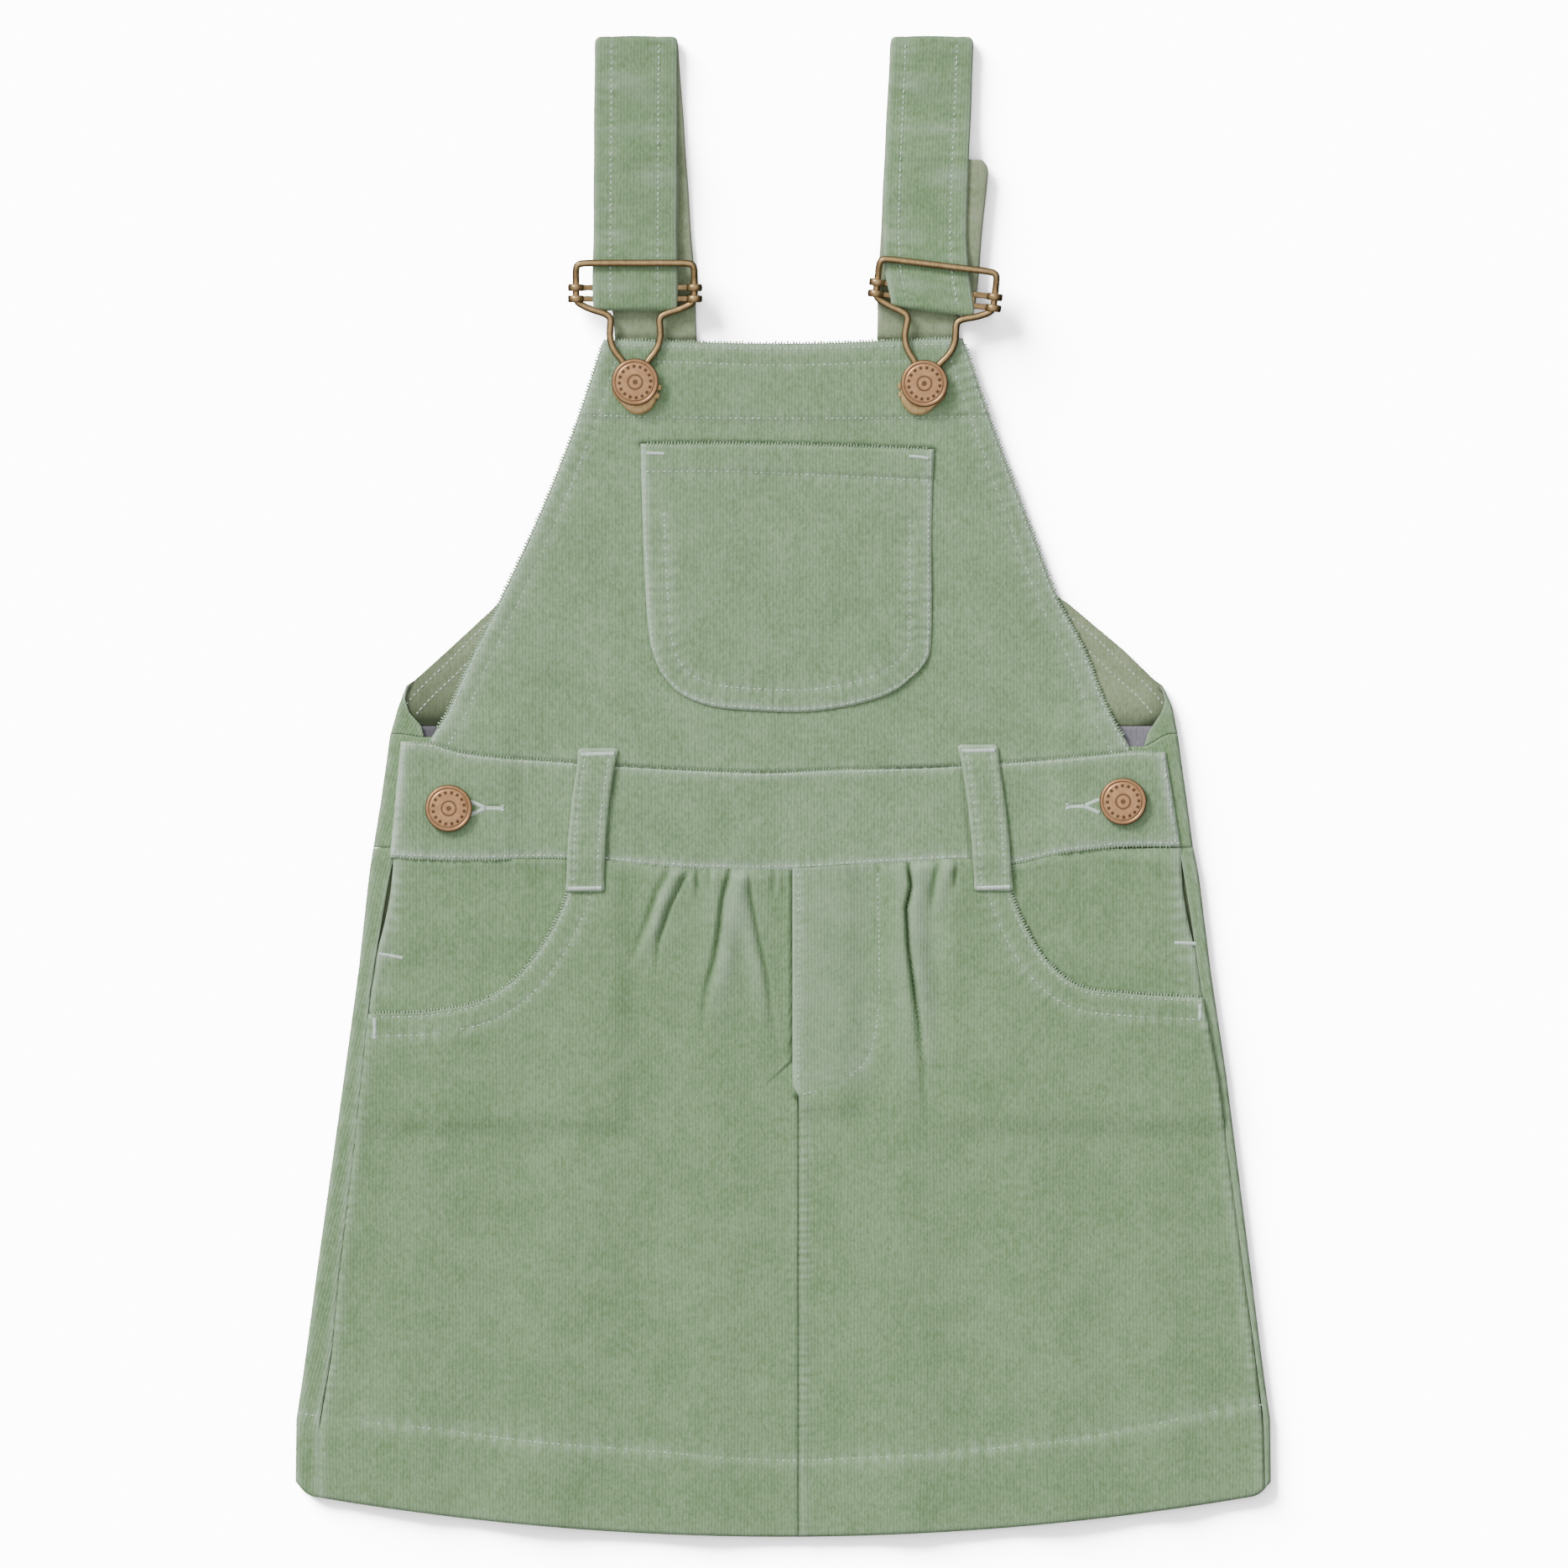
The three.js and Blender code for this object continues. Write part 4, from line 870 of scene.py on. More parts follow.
def front_waistband():
    cols, rows = 250, 38
    top, bottom = spaced(BAND_TOP, cols), spaced(BAND_BOTTOM, cols)
    left = spaced([BAND_TOP[0], BAND_BOTTOM[0]], rows)
    right = spaced([BAND_TOP[-1], BAND_BOTTOM[-1]], rows)
    grid = between(top, bottom, left, right)
    x, y = grid[..., 0], grid[..., 1]
    seams = [
        Sewn(beside(BAND_TOP, 1.3, 120), 0.12, 4, 3.6, seed=41, worn=0.4),
        Sewn(beside(BAND_BOTTOM, -1.3, 120), 0.14, 4.5, 3.8, seed=43, worn=0.55),
        Sewn(np.array([(-138.2, 14.5), (-142, -24.5)]), 0.14, 4, 3.4, seed=45, worn=0.8),
        Sewn(np.array([(138.6, 11.5), (143.4, -20.8)]), 0.14, 4, 3.4, seed=47, worn=0.8),
    ]
    holes = [np.array([(-108.5, -7.9), (-102.2, -7.9)]), np.array([(109.8, -7.2), (103.6, -7.3)])]

    def top_height(px, py):
        relief, _ = sewn_relief(px, py, seams)
        dent = np.zeros(np.shape(px))
        for hole in holes:
            away, _ = near_line(px, py, hole)
            dent = dent - 0.9 * bell(away, 0.45)
        return band_low(px, py) + BAND_THICK + relief + 0.22 * ripple(px, py * 1.6, 30, 49) + dent - 0.15

    _, wear = sewn_relief(x, y, seams)
    wear = wear + 0.8 * rim_wear(*x.shape, 1.1, (0.5, 1.4, 1, 1.6))
    loops = [[(at + part, 12), (at + lean + part, -30)] for at, lean in ((-67.3, -4.2), (70.8, 5))
             for part in (-LOOP_HALF, LOOP_HALF)]
    # Painted shade beside the belt loops.
    shade = painted_contact_shade(x, y, [(loop, 0.4, 1.0) for loop in loops])
    height = top_height(x, y) - edge_profile(*x.shape, depth=1.1, width=1.6, spacing=1.1)
    upper = np.dstack([x, y, height])
    lower = np.dstack([x, y, band_low(x, y)])
    piece = wall("front_waistband_cloth", upper, lower, [SAGE_BIB, SAGE_BACK],
                 x + 0.2 * ripple(x, y, 40, 50), wear, shade)
    sew(seams, top_height)
    for (fork, end), out in zip(holes, (-1, 1)):
        for spread in (-1, 1):
            satin_bar([fork + [out * 5.6, spread * 2.4], fork + [out * 2.6, spread * 1.2], fork], top_height, 1.8)
            satin_bar([fork + [0, spread * 0.35], end + [0, spread * 0.35]], top_height, 1.2)
        satin_bar([end + [0, -1.1], end + [0, 1.1]], top_height, 1.5)
    wale_ends(beside(BAND_TOP, 0.2, 240)[3:-3], 1, top_height, 0.55)
    wale_ends(beside(BAND_BOTTOM, -0.2, 240)[3:-3], -1, top_height, 0.6)
    return settle(piece, "front_waistband")


def bib_thick(x, y):
    foot = height_on(BIB_TOP, x) - FACING_DEPTH
    return mix(CLOTH, FACED_THICK, smooth(foot - 1.5, foot + 1.5, y))


def bib_low(x, y):
    return mix(BIB_LOW, OVER_LOW, end_lift(x) * (1 - smooth(BAND_BACK_TOP + 2, BAND_BACK_TOP + 14, y)))


def bib():
    cols, rows = 160, 170
    top = spaced(BIB_TOP, cols)
    bottom = stretch_of(BAND_TOP, BIB_LEFT[-1][0], BIB_RIGHT[-1][0], cols, UNDER_BAND)
    left, right = spaced(BIB_LEFT, rows), spaced(BIB_RIGHT, rows)
    left[-1], right[-1] = bottom[0], bottom[-1]
    grid = between(top, bottom, left, right)
    x, y = grid[..., 0], grid[..., 1]
    seams = [
        Sewn(beside([(-63.5, 163), (0, 161.5), (63.5, 163.4)], 1.9), 0.1, 3.5, 3.2, seed=51),
        Sewn(spaced([(-46.5, 155), (0, 153.6), (45.5, 155.2)], 60), 0.06, 3, 4, seed=53, worn=0.25),
        Sewn(spaced([(-72, 135.3), (0, 134.2), (75, 135)], 80), 0.1, 4, 4.4, seed=55, worn=0.35),
        Sewn(beside(BIB_LEFT, -1.1, 90), 0.14, 4, 3.3, seed=57, worn=0.7),
        Sewn(beside(BIB_RIGHT, 1.1, 90), 0.14, 4, 3.3, seed=59, worn=0.7),
        Sewn(beside(BIB_LEFT, -6.6, 90)[2:], 0.16, 4.5, 4.2, seed=61, worn=0.4),
        Sewn(beside(BIB_RIGHT, 6.6, 90)[2:], 0.16, 4.5, 4.2, seed=63, worn=0.4),
        Sewn(bottom[4:-4] + [0, 1.0], 0.12, 4, 3.6, 0, False, 0.3, 65),
    ]

    def top_height(px, py):
        relief, _ = sewn_relief(px, py, seams)
        return bib_low(px, py) + bib_thick(px, py) + relief + 0.18 * ripple(px, py, 34, 67) - 0.1

    _, wear = sewn_relief(x, y, seams)
    wear = wear + 0.4 * rim_wear(*x.shape, 1.0, (1, 0, 1, 1))
    pocket_edge = spaced(POCKET_LEFT + POCKET_BOTTOM[1:-1] + POCKET_RIGHT[::-1], 160)
    # Painted shade above the waistband, round the pocket and along the pocket's top edge.
    shade = painted_contact_shade(x, y, [(spaced(BAND_TOP, 120), 0.5, 0.9), (pocket_edge, 0.2, 0.8),
                                 (spaced(POCKET_TOP, 60), 0.9, 1.2)])
    height = top_height(x, y) - edge_profile(*x.shape, depth=0.85, width=1.5, spacing=1.0, sides=(1, 0, 1, 1))
    upper = np.dstack([x, y, height])
    lower = np.dstack([x, y, bib_low(x, y)])
    piece = wall("bib_cloth", upper, lower, [SAGE_BIB, SAGE_BACK], x + 0.2 * ripple(x, y, 50, 68), wear,
                 shade)
    sew(seams, top_height)
    wale_ends(top[2:-2], 1, top_height)
    wale_ends(left[2:-6], -1, top_height, 0.7)
    wale_ends(right[2:-6], 1, top_height, 0.7)
    return settle(piece, "bib")


def bib_pocket():
    cols, rows = 110, 100
    left, right = spaced(POCKET_LEFT, rows), spaced(POCKET_RIGHT, rows)
    grid = between(spaced(POCKET_TOP, cols), spaced(POCKET_BOTTOM, cols), left, right)
    x, y = grid[..., 0], grid[..., 1]
    outline = POCKET_LEFT + POCKET_BOTTOM[1:-1] + POCKET_RIGHT[::-1]
    hem = np.array(POCKET_TOP, float) - [0, 10.2]
    seams = [
        Sewn(beside(outline, -1.1, 150), 0.14, 4, 3.4, seed=71, worn=0.65),
        Sewn(beside(outline, -8.0, 150)[14:-14], 0.2, 4.6, 4.3, seed=73, worn=0.45),
        Sewn(spaced(hem + [[1.5, 0], [0, 0], [0, -0.8], [-1.5, -1.3]], 60), 0.1, 4, 4.2, seed=75, worn=0.4),
    ]

    def low(px, py):
        return bib_low(px, py) + bib_thick(px, py) + SEAM

    def top_height(px, py):
        relief, _ = sewn_relief(px, py, seams)
        hem_part = smooth(-11.4, -9.6, py - height_on(POCKET_TOP, px))
        bulge = 0.55 * smooth(0, 22, 52 - np.abs(px - 1.5)) * smooth(0, 25, py - 27)
        return low(px, py) + CLOTH + 0.5 * hem_part + relief + bulge * (1 + 0.5 * ripple(px, py, 40, 77)) - 0.1

    _, wear = sewn_relief(x, y, seams)
    wear = wear + 0.75 * rim_wear(*x.shape, 0.95, (0.15, 1, 0.8, 0.9))
    height = top_height(x, y) - edge_profile(*x.shape, depth=0.95, width=1.4, spacing=1.0)
    upper = np.dstack([x, y, height])
    lower = np.dstack([x, y, low(x, y) - 0.1])
    piece = wall("bib_pocket_cloth", upper, lower, [SAGE_BIB, SAGE_BACK], x + 0.6, wear)
    sew(seams, top_height)
    satin_bar([(-49.8, 121.6), (-43.4, 121.4)], top_height, 1.5)
    satin_bar([(46, 120.4), (49.6, 120.2), (53, 119.6)], top_height, 1.5)
    wale_ends(spaced(POCKET_TOP, 100)[2:-2], 1, top_height, 0.6)
    return settle(piece, "bib_pocket")


LOOP_ROWS = np.array([(15.4, BIB_LOW + CLOTH), (13, BIB_LOW + CLOTH), (9.4, FRONT_LOW + BAND_THICK),
                      (-18, FRONT_LOW + BAND_THICK), (-26, OVER_LOW + CLOTH), (-39, OVER_LOW + CLOTH)])
LOOP_HALF = 6.9


def belt_loop(side, top_x, foot_x, top_y, foot_y, bow):
    rows, cols = 70, 18
    y = np.linspace(top_y, foot_y, rows + 1)[:, None] * np.ones((1, cols + 1))
    t = (top_y - y) / (top_y - foot_y)
    middle = mix(top_x, foot_x, t) + bow * np.sin(math.pi * t)
    flare = 0.6 * bell(top_y - y, 4) + 0.35 * bell(y - foot_y, 3)
    into_corner = np.clip(1 - np.minimum(top_y - y, y - foot_y) / 1.5, 0, 1)
    half = LOOP_HALF + flare - 1.5 * (1 - np.sqrt(1 - 0.98 * into_corner ** 2))
    x = middle + np.linspace(-1, 1, cols + 1)[None, :] * half
    line = np.stack([middle[:, 0], y[:, 0]], axis=1)
    seams = [Sewn(line[2:-2] + [offset, 0], 0.12, 3, 3.2, seed=81 + k, worn=0.6)
             for k, offset in enumerate((-4.4, 4.4))]

    def low(px, py):
        return column(LOOP_ROWS, 1, py) + SEAM

    def top_height(px, py):
        relief, _ = sewn_relief(px, py, seams)
        arch = 0.5 * smooth(0, 6, 12 - py) * smooth(0, 8, py + 34)
        return low(px, py) + CLOTH + arch + relief

    _, wear = sewn_relief(x, y, seams)
    ends = bell(y - top_y, 2.0) + bell(y - foot_y, 2.0)
    wear = wear + 0.6 * ends + 0.5 * bell(half - np.abs(x - middle), 0.9)
    height = top_height(x, y) - edge_profile(*x.shape, depth=0.9, width=1.3, spacing=0.76)
    upper = np.dstack([x, y, height])
    lower = np.dstack([x, y, low(x, y)])
    piece = wall(f"belt_loop_{side}_cloth", upper, lower, [SAGE_BIB, SAGE_BACK], x, wear)
    sew(seams, top_height)
    for end_y in (top_y - 2.4, foot_y + 1.2):
        end_x = float(np.interp(-end_y, -line[:, 1], line[:, 0]))
        satin_bar([(end_x - 6, end_y), (end_x + 6, end_y + 0.3)], top_height, 1.7)
    return settle(piece, f"belt_loop_{side}")


# Back panels, which come round the side folds onto the front

FOLD_RADIUS = (FOLD_GAP + CLOTH) / 2
FOLD_HEIGHT = CLOTH + FOLD_GAP / 2
FOLD_REACH = FOLD_RADIUS + CLOTH / 2
HALF_ARC = math.pi / 2 * FOLD_RADIUS


def flap_for(reach):
    return reach - FOLD_REACH + HALF_ARC


def fold_side(side, inward, edges, steps):
    """Points from a panel's edge round the fold to the back. All arrays have a row for each height."""
    stop = np.minimum(edges - 1.2, -HALF_ARC)[:, None]
    distance = mix(edges[:, None], stop, np.linspace(0, 1, steps)[None, :] ** 0.8)
    centre = side[:, None] + inward * FOLD_REACH
    angle = np.clip(distance / FOLD_RADIUS, -math.pi / 2, math.pi / 2)
    over = np.maximum(np.abs(distance) - HALF_ARC, 0)
    nx = -inward * np.cos(angle)
    nz = np.sin(angle)
    return centre + nx * FOLD_RADIUS + inward * over, FOLD_HEIGHT + nz * FOLD_RADIUS, nx, nz, distance


def back_panel(name, heights, top_y, bottom_y, flaps, materials, steps=26, back_cols=110, seams=(), slope=None):
    t = np.asarray(heights, float)
    guide = mix(top_y(0.0), bottom_y(150.0), t)
    left_flap, right_flap = flaps(guide)
    left = fold_side(column(SIDES, 1, guide), 1, left_flap, steps)
    right = [part[:, ::-1] for part in fold_side(column(SIDES, 2, guide), -1, right_flap, steps)]
    share = np.linspace(0, 1, back_cols + 1)[1:-1][None, :]
    middle_x = mix(left[0][:, -1:], right[0][:, :1], share)
    flat = np.ones_like(middle_x)
    x = np.hstack([left[0], middle_x, right[0]])
    z = np.hstack([left[1], flat * CLOTH / 2, right[1]])
    nx = np.hstack([left[2], flat * 0, right[2]])
    nz = np.hstack([left[3], -flat, right[3]])
    left_fold, right_fold = column(SIDES, 1, guide)[:, None], column(SIDES, 2, guide)[:, None]
    developed = np.hstack([left_fold - left[4], middle_x, right_fold + right[4]])
    y = mix(top_y(x), bottom_y(x), t[:, None])
    if slope:
        to_fold = np.hstack([left[4], flat * -40, right[4]])
        y = y + waist_seam_shift(x, to_fold) * (1 - t[:, None] if slope == "top" else t[:, None])
    raised = np.zeros_like(x)
    wear = np.zeros_like(x)
    if seams:
        raised, wear = sewn_relief(x, y, seams)
    on_top = smooth(0.2, 1, nz)
    inside = smooth(0.2, 1, -nz)
    outer = np.dstack([x + nx * CLOTH / 2, y, z + nz * (CLOTH / 2 + raised * on_top)])
    inner = np.dstack([x - nx * CLOTH / 2, y, z - nz * (CLOTH / 2) + raised * inside])
    fold = bell(np.hstack([left[4], flat * -40, right[4]]) - 0.4, 1.5)
    edge = np.minimum(np.arange(x.shape[1]), np.arange(x.shape[1])[::-1])[None, :]
    wear = wear + 0.45 * fold * (0.7 + 0.5 * ripple(x, y, 9, 91)) + 0.3 * bell(edge, 3.0)
    side = np.where(x < 0, x - column(SIDES, 1, y), column(SIDES, 2, y) - x)
    # Painted shade on the inner side: beside the side folds of the skirt, inside the waistband, more on the left, and
    # inside the armholes, darkest near the waist, on the left and by the right turned edge.
    shade = 0.75 * (1 - smooth(7, 12, side)) if "skirt" in name else 0.0
    if "waistband" in name:
        shade = 0.45 * (x < 0) + 0.15
    if "bodice" in name:
        shade = 0.8 * bell(y - 19, 7) + 0.55 * (x < 0) * (1 - smooth(22, 62, y))
        turned = column(UNDERARM, 1, y)
        shade = shade + 0.5 * (x > 0) * (1 - smooth(turned - 1, turned + 7, side)) * (1 - smooth(34, 52, y))
    return wall(name, inner, outer, materials, developed, wear, shade, 0.0)


def waist_seam_shift(x, to_fold):
    """How far the bodice seam lies above its even height: high inside, falling away on the turned edge."""
    inside = 2.8 * smooth(0, -4, to_fold)
    fall = np.where(x < 0, 1.2, 4.6) * smooth(2, 13, to_fold)
    return inside + 0.9 - fall


def skirt_flaps(y):
    left = flap_for(column(SEAMS, 1, y) - column(SIDES, 1, y))
    return left, flap_for(column(SIDES, 2, y) - column(SEAMS, 2, y))


def band_flaps(y):
    return (flap_for(-BAND_BACK_REACH - column(SIDES, 1, y)), flap_for(column(SIDES, 2, y) - BAND_BACK_REACH))


def bodice_flaps(y):
    drawn_in = np.where(y > 66.5, 105 - column(BACK_EDGE, 1, y), 0)
    turned = column(UNDERARM, 1, y) - drawn_in
    return turned, turned


BODICE_TOP = 118


def level(height):
    """An edge at one height all along."""
    return lambda x: height + 0 * np.asarray(x)


def back_skirt():
    seams = [
        Sewn([(-148.8, -60), (-152.2, -88), (-157, -130), (-161, -170), (-164, -205), (-168.6, -232), (-169, -255)],
             0.16, 4, 3.6, 0, False, 0.5, 101),
        Sewn(curve_through(HEM_LINE, 10), 0.12, 5, 5, seed=103),
    ]
    piece = back_panel("back_skirt_cloth", np.linspace(0, 1, 150), level(BAND_BACK_BOTTOM - TUCK),
                       lambda x: hem_height(np.asarray(x)), skirt_flaps, [SAGE_BACK, SAGE], seams=seams)
    flap_top = FRONT_LOW + CLOTH

    def top_height(px, py):
        return np.full(np.shape(px), flap_top)

    stitch_along([(-177, -228.6), (-170.5, -229.6)], top_height)
    return settle(piece, "back_skirt")


def back_waistband():
    return settle(back_panel("back_waistband_cloth", np.linspace(0, 1, 34), level(BAND_BACK_TOP),
                             level(BAND_BACK_BOTTOM), band_flaps, [BAND_INSIDE, SAGE], steps=70,
                             slope="top"),
                  "back_waistband")


def back_bodice():
    left_edge = [(-101, 66.5), (-111, 58.5), (-122.5, 47), (-133, 37), (-139, 30.5)]
    right_edge = [(101, 66.5), (113, 57), (124.5, 46), (135, 36.5), (140, 30.5)]
    seams = [
        Sewn(beside(left_edge, -1.4, 40), 0.12, 3.5, 3.4, seed=111, worn=0.3),
        Sewn(beside(right_edge, 1.4, 40), 0.12, 3.5, 3.4, seed=113, worn=0.3),
        Sewn(beside(left_edge, -6.6, 40), 0.1, 3.5, 3.8, seed=115, worn=0.2),
        Sewn(beside(right_edge, 6.6, 40), 0.1, 3.5, 3.8, seed=117, worn=0.2),
    ]
    foot = BAND_BACK_TOP + TUCK
    heights = np.concatenate([np.linspace(0, 0.6, 40, endpoint=False), np.linspace(0.6, 1, 60)])
    piece = back_panel("back_bodice_cloth", heights, level(BODICE_TOP), level(foot),
                       bodice_flaps, [SAGE_BACK, SAGE], seams=seams, slope="foot")

    def top_height(px, py):
        return np.full(np.shape(px), CLOTH)

    sew(seams, top_height)
    return settle(piece, "back_bodice")


# Straps

STRAP_LOW = STRAP_THICK / 2
TAIL_Z = STRAP_LOW + STRAP_STEP
BUCKLED_Z = CROSSBAR_Z + (CROSSBAR_THICK + STRAP_THICK) / 2 + SEAM
FRONT_RISE = np.array([(TOP, TAIL_Z), (244, TAIL_Z), (231, TAIL_Z + STRAP_STEP), (200, TAIL_Z + STRAP_STEP),
                       (189, BUCKLED_Z), (170, BUCKLED_Z)])
STRAPS = {
    "left": {"back": [(-44.5, 118.6, 0), (-46.5, 164, 2), (-53.5, 272.05, 0)],
             "front": [(-53.6, 272.05, 0), (-54, 189, 0), (-54, 175.7, 0)],
             "tail": [(-54, 175.7, 0), (-53, 229, 1)], "rows": (-9.0, 8.2)},
    "right": {"back": [(47.5, 118.6, 0), (49.2, 164, -2), (54.2, 272.05, 0)],
              "front": [(54.3, 272.05, 0), (52, 193, -4), (54.6, 175.4, -7)],
              "tail": [(54.6, 175.4, -7), (60, 229, -2)], "rows": (-9.6, 9.2)},
}


def half_turn(at, from_z, to_z, outward):
    radius = abs(to_z - from_z) / 2
    tilt = math.radians(at[2])
    out = []
    for angle in np.radians(np.arange(10, 180, 10)):
        reach = outward * radius * math.sin(angle)
        out.append((at[0] - math.sin(tilt) * reach, at[1] + math.cos(tilt) * reach,
                    mix(from_z, to_z, (1 - math.cos(angle)) / 2), at[2]))
    return np.array(out)


def run_of(points, count, height):
    line = spaced(points, count)
    return np.stack([line[:, 0], line[:, 1], height(line[:, 1]), line[:, 2]], axis=1)


def front_z(y):
    fine = np.linspace(165, 275, 441)
    level = np.interp(fine, FRONT_RISE[::-1, 0], FRONT_RISE[::-1, 1])
    kernel = bell(np.arange(-16, 17), 7.0)
    padded = np.pad(level, 16, mode="edge")
    return np.interp(y, fine, np.convolve(padded, kernel / kernel.sum(), mode="valid"))


def strap(side):
    shape = STRAPS[side]
    front = run_of(shape["front"], 90, front_z)
    stations = np.vstack([
        run_of(shape["back"], 90, lambda y: np.full(np.shape(y), STRAP_LOW)),
        half_turn(shape["back"][-1], STRAP_LOW, TAIL_Z, 1),
        front,
        half_turn(shape["front"][-1], float(front_z(shape["front"][-1][1])), TAIL_Z, -1),
        run_of(shape["tail"], 50, lambda y: np.full(np.shape(y), TAIL_Z)),
    ])
    along = np.gradient(stations[:, :3], axis=0)
    tilt = np.radians(stations[:, 3])
    across = np.stack([np.cos(tilt), np.sin(tilt), 0 * tilt], axis=1)
    normal = np.cross(across, along)
    normal /= np.linalg.norm(normal, axis=1)[:, None]
    cols = 30
    share = np.linspace(-1, 1, cols + 1)
    near_top = np.clip((stations[:, 1] - (TOP - 3.0)) / 3.0, 0, 1)
    tail_end = np.clip(1 - np.arange(len(stations))[::-1] / 4.0, 0, 1)
    half = STRAP_HALF - 2.2 * (1 - np.sqrt(1 - near_top ** 2 * 0.999)) - 2.6 * tail_end ** 2
    middle = stations[:, None, :3] + across[:, None] * (share[None, :, None] * half[:, None, None])
    wander = 0.35 * ripple_along(middle[..., 1], 31, 121) * np.sign(share)[None, :] * (np.abs(share) > 0.99)
    middle = middle + across[:, None] * wander[..., None]
    place = lengths_of(stations[:, :3])[:, None] * np.ones((1, cols + 1))
    offset = share[None, :] * half[:, None]
    relief = np.zeros(place.shape)
    wear = 0.55 * bell(half[:, None] - np.abs(offset), 1.1) * np.ones(place.shape)
    for k, row in enumerate(shape["rows"]):
        gap = np.abs(offset - row)
        crest = np.sin(place * 2 * math.pi / 4.1 + 1.6 * ripple_along(place, 20, 123 + k)) * bell(gap, 4.5)
        crest = crest * (0.7 + 0.6 * ripple_along(place, 33, 125 + k))
        relief += 0.16 * crest - 0.25 * bell(gap, 0.5)
        wear += 0.22 * (0.3 + np.clip(crest, -0.5, 1)) * bell(gap, 3.5)
    relief += 0.22 * ripple(place, offset, 14, 127) * np.cos(share * math.pi / 2)[None, :]
    relief += 0.28 * np.cos(share * math.pi / 2)[None, :]
    wear += 0.25 * np.clip(ripple(offset * 0.5, place, 12, 128), 0, 1)
    rim = 1 - np.sqrt(np.clip(1 - (1 - np.clip((1 - np.abs(share)) * STRAP_HALF / 1.2, 0, 1)) ** 2, 0, 1))
    thick = STRAP_THICK / 2 - 0.5 * rim[None, :]
    right_side = middle - normal[:, None] * (thick + np.clip(relief - 0.2, -0.25, 0.3))[..., None]
    wrong_side = middle + normal[:, None] * (thick + 0 * relief)[..., None]
    right_side[..., 2] = np.maximum(right_side[..., 2], 0.0)
    # Painted shadow on the strap's wrong side where it passes behind the bib's top edge, and a slight even painted
    # shade on the left strap.
    painted_shadow_behind_bib = 0.8 * bell(middle[..., 1] - 163.6, 1.1)
    piece = wall(f"strap_{side}_cloth", right_side, wrong_side, [SAGE, SAGE_BACK], offset, wear,
                 0.08 if side == "left" else 0.0, painted_shadow_behind_bib)
    for row in shape["rows"]:
        sewn = front[1:-2]
        lean = np.radians(sewn[:, 3])
        line = sewn[:, :2] + row * np.stack([np.cos(lean), np.sin(lean)], axis=1)
        stitch_along(line, lambda px, py: (front_z(py) + STRAP_THICK / 2 + 0.05
                                           - 0.2 * smooth(-0.2, 0.8, ripple(px, py, 24, 129))))
    return settle(piece, f"strap_{side}")


# Hardware, made about the bib button

WIRE_RADIUS = 1.25
WIRE_HALF_WIDTH = 21.6
WIRE_TOP = 43.4
WIRE_TOP_Z = 7.9
WIRE_LOW_Z = 5.2
WIRE_HALF = [
    (0, WIRE_TOP, WIRE_TOP_Z), (10, WIRE_TOP, WIRE_TOP_Z), (WIRE_HALF_WIDTH - 2.2, WIRE_TOP, WIRE_TOP_Z),
    (WIRE_HALF_WIDTH - 0.5, WIRE_TOP - 0.7, WIRE_TOP_Z - 0.1), (WIRE_HALF_WIDTH, WIRE_TOP - 2.4, WIRE_TOP_Z - 0.8),
    (WIRE_HALF_WIDTH, 37.4, WIRE_LOW_Z + 0.1), (WIRE_HALF_WIDTH, 35, WIRE_LOW_Z), (WIRE_HALF_WIDTH, 31, WIRE_LOW_Z),
    (WIRE_HALF_WIDTH - 0.6, 28.8, WIRE_LOW_Z), (16.2, 26.5, WIRE_LOW_Z), (10.6, 24.9, WIRE_LOW_Z),
    (8.8, 23.2, WIRE_LOW_Z), (9.1, 20, WIRE_LOW_Z), (9.3, 16, WIRE_LOW_Z), (7.8, 11.5, WIRE_LOW_Z),
    (4.6, 7.8, WIRE_LOW_Z), (3.7, 5.6, WIRE_LOW_Z),
]
BUCKLES = {"left": (-54, 147.5, 0), "right": (51.5, 147, -7)}
BUTTONS = {
    "bib_button_left": (-54, 147.5, BIB_LOW + FACED_THICK + SEAM, 6.5, 4),
    "bib_button_right": (51.5, 147, BIB_LOW + FACED_THICK + SEAM, 6.5, -9),
    "waist_button_left": (-122, -8, OVER_LOW + BAND_THICK + SEAM, 5.8, 12),
    "waist_button_right": (124, -5.5, OVER_LOW + BAND_THICK + SEAM, 5.8, -20),
}
CAP_RADIUS = 8.6


def place_hardware(points, spot):
    turn = math.radians(spot[2])
    x = spot[0] + points[:, 0] * math.cos(turn) - points[:, 1] * math.sin(turn)
    y = spot[1] + points[:, 0] * math.sin(turn) + points[:, 1] * math.cos(turn)
    return np.stack([x, y, points[:, 2]], axis=1)


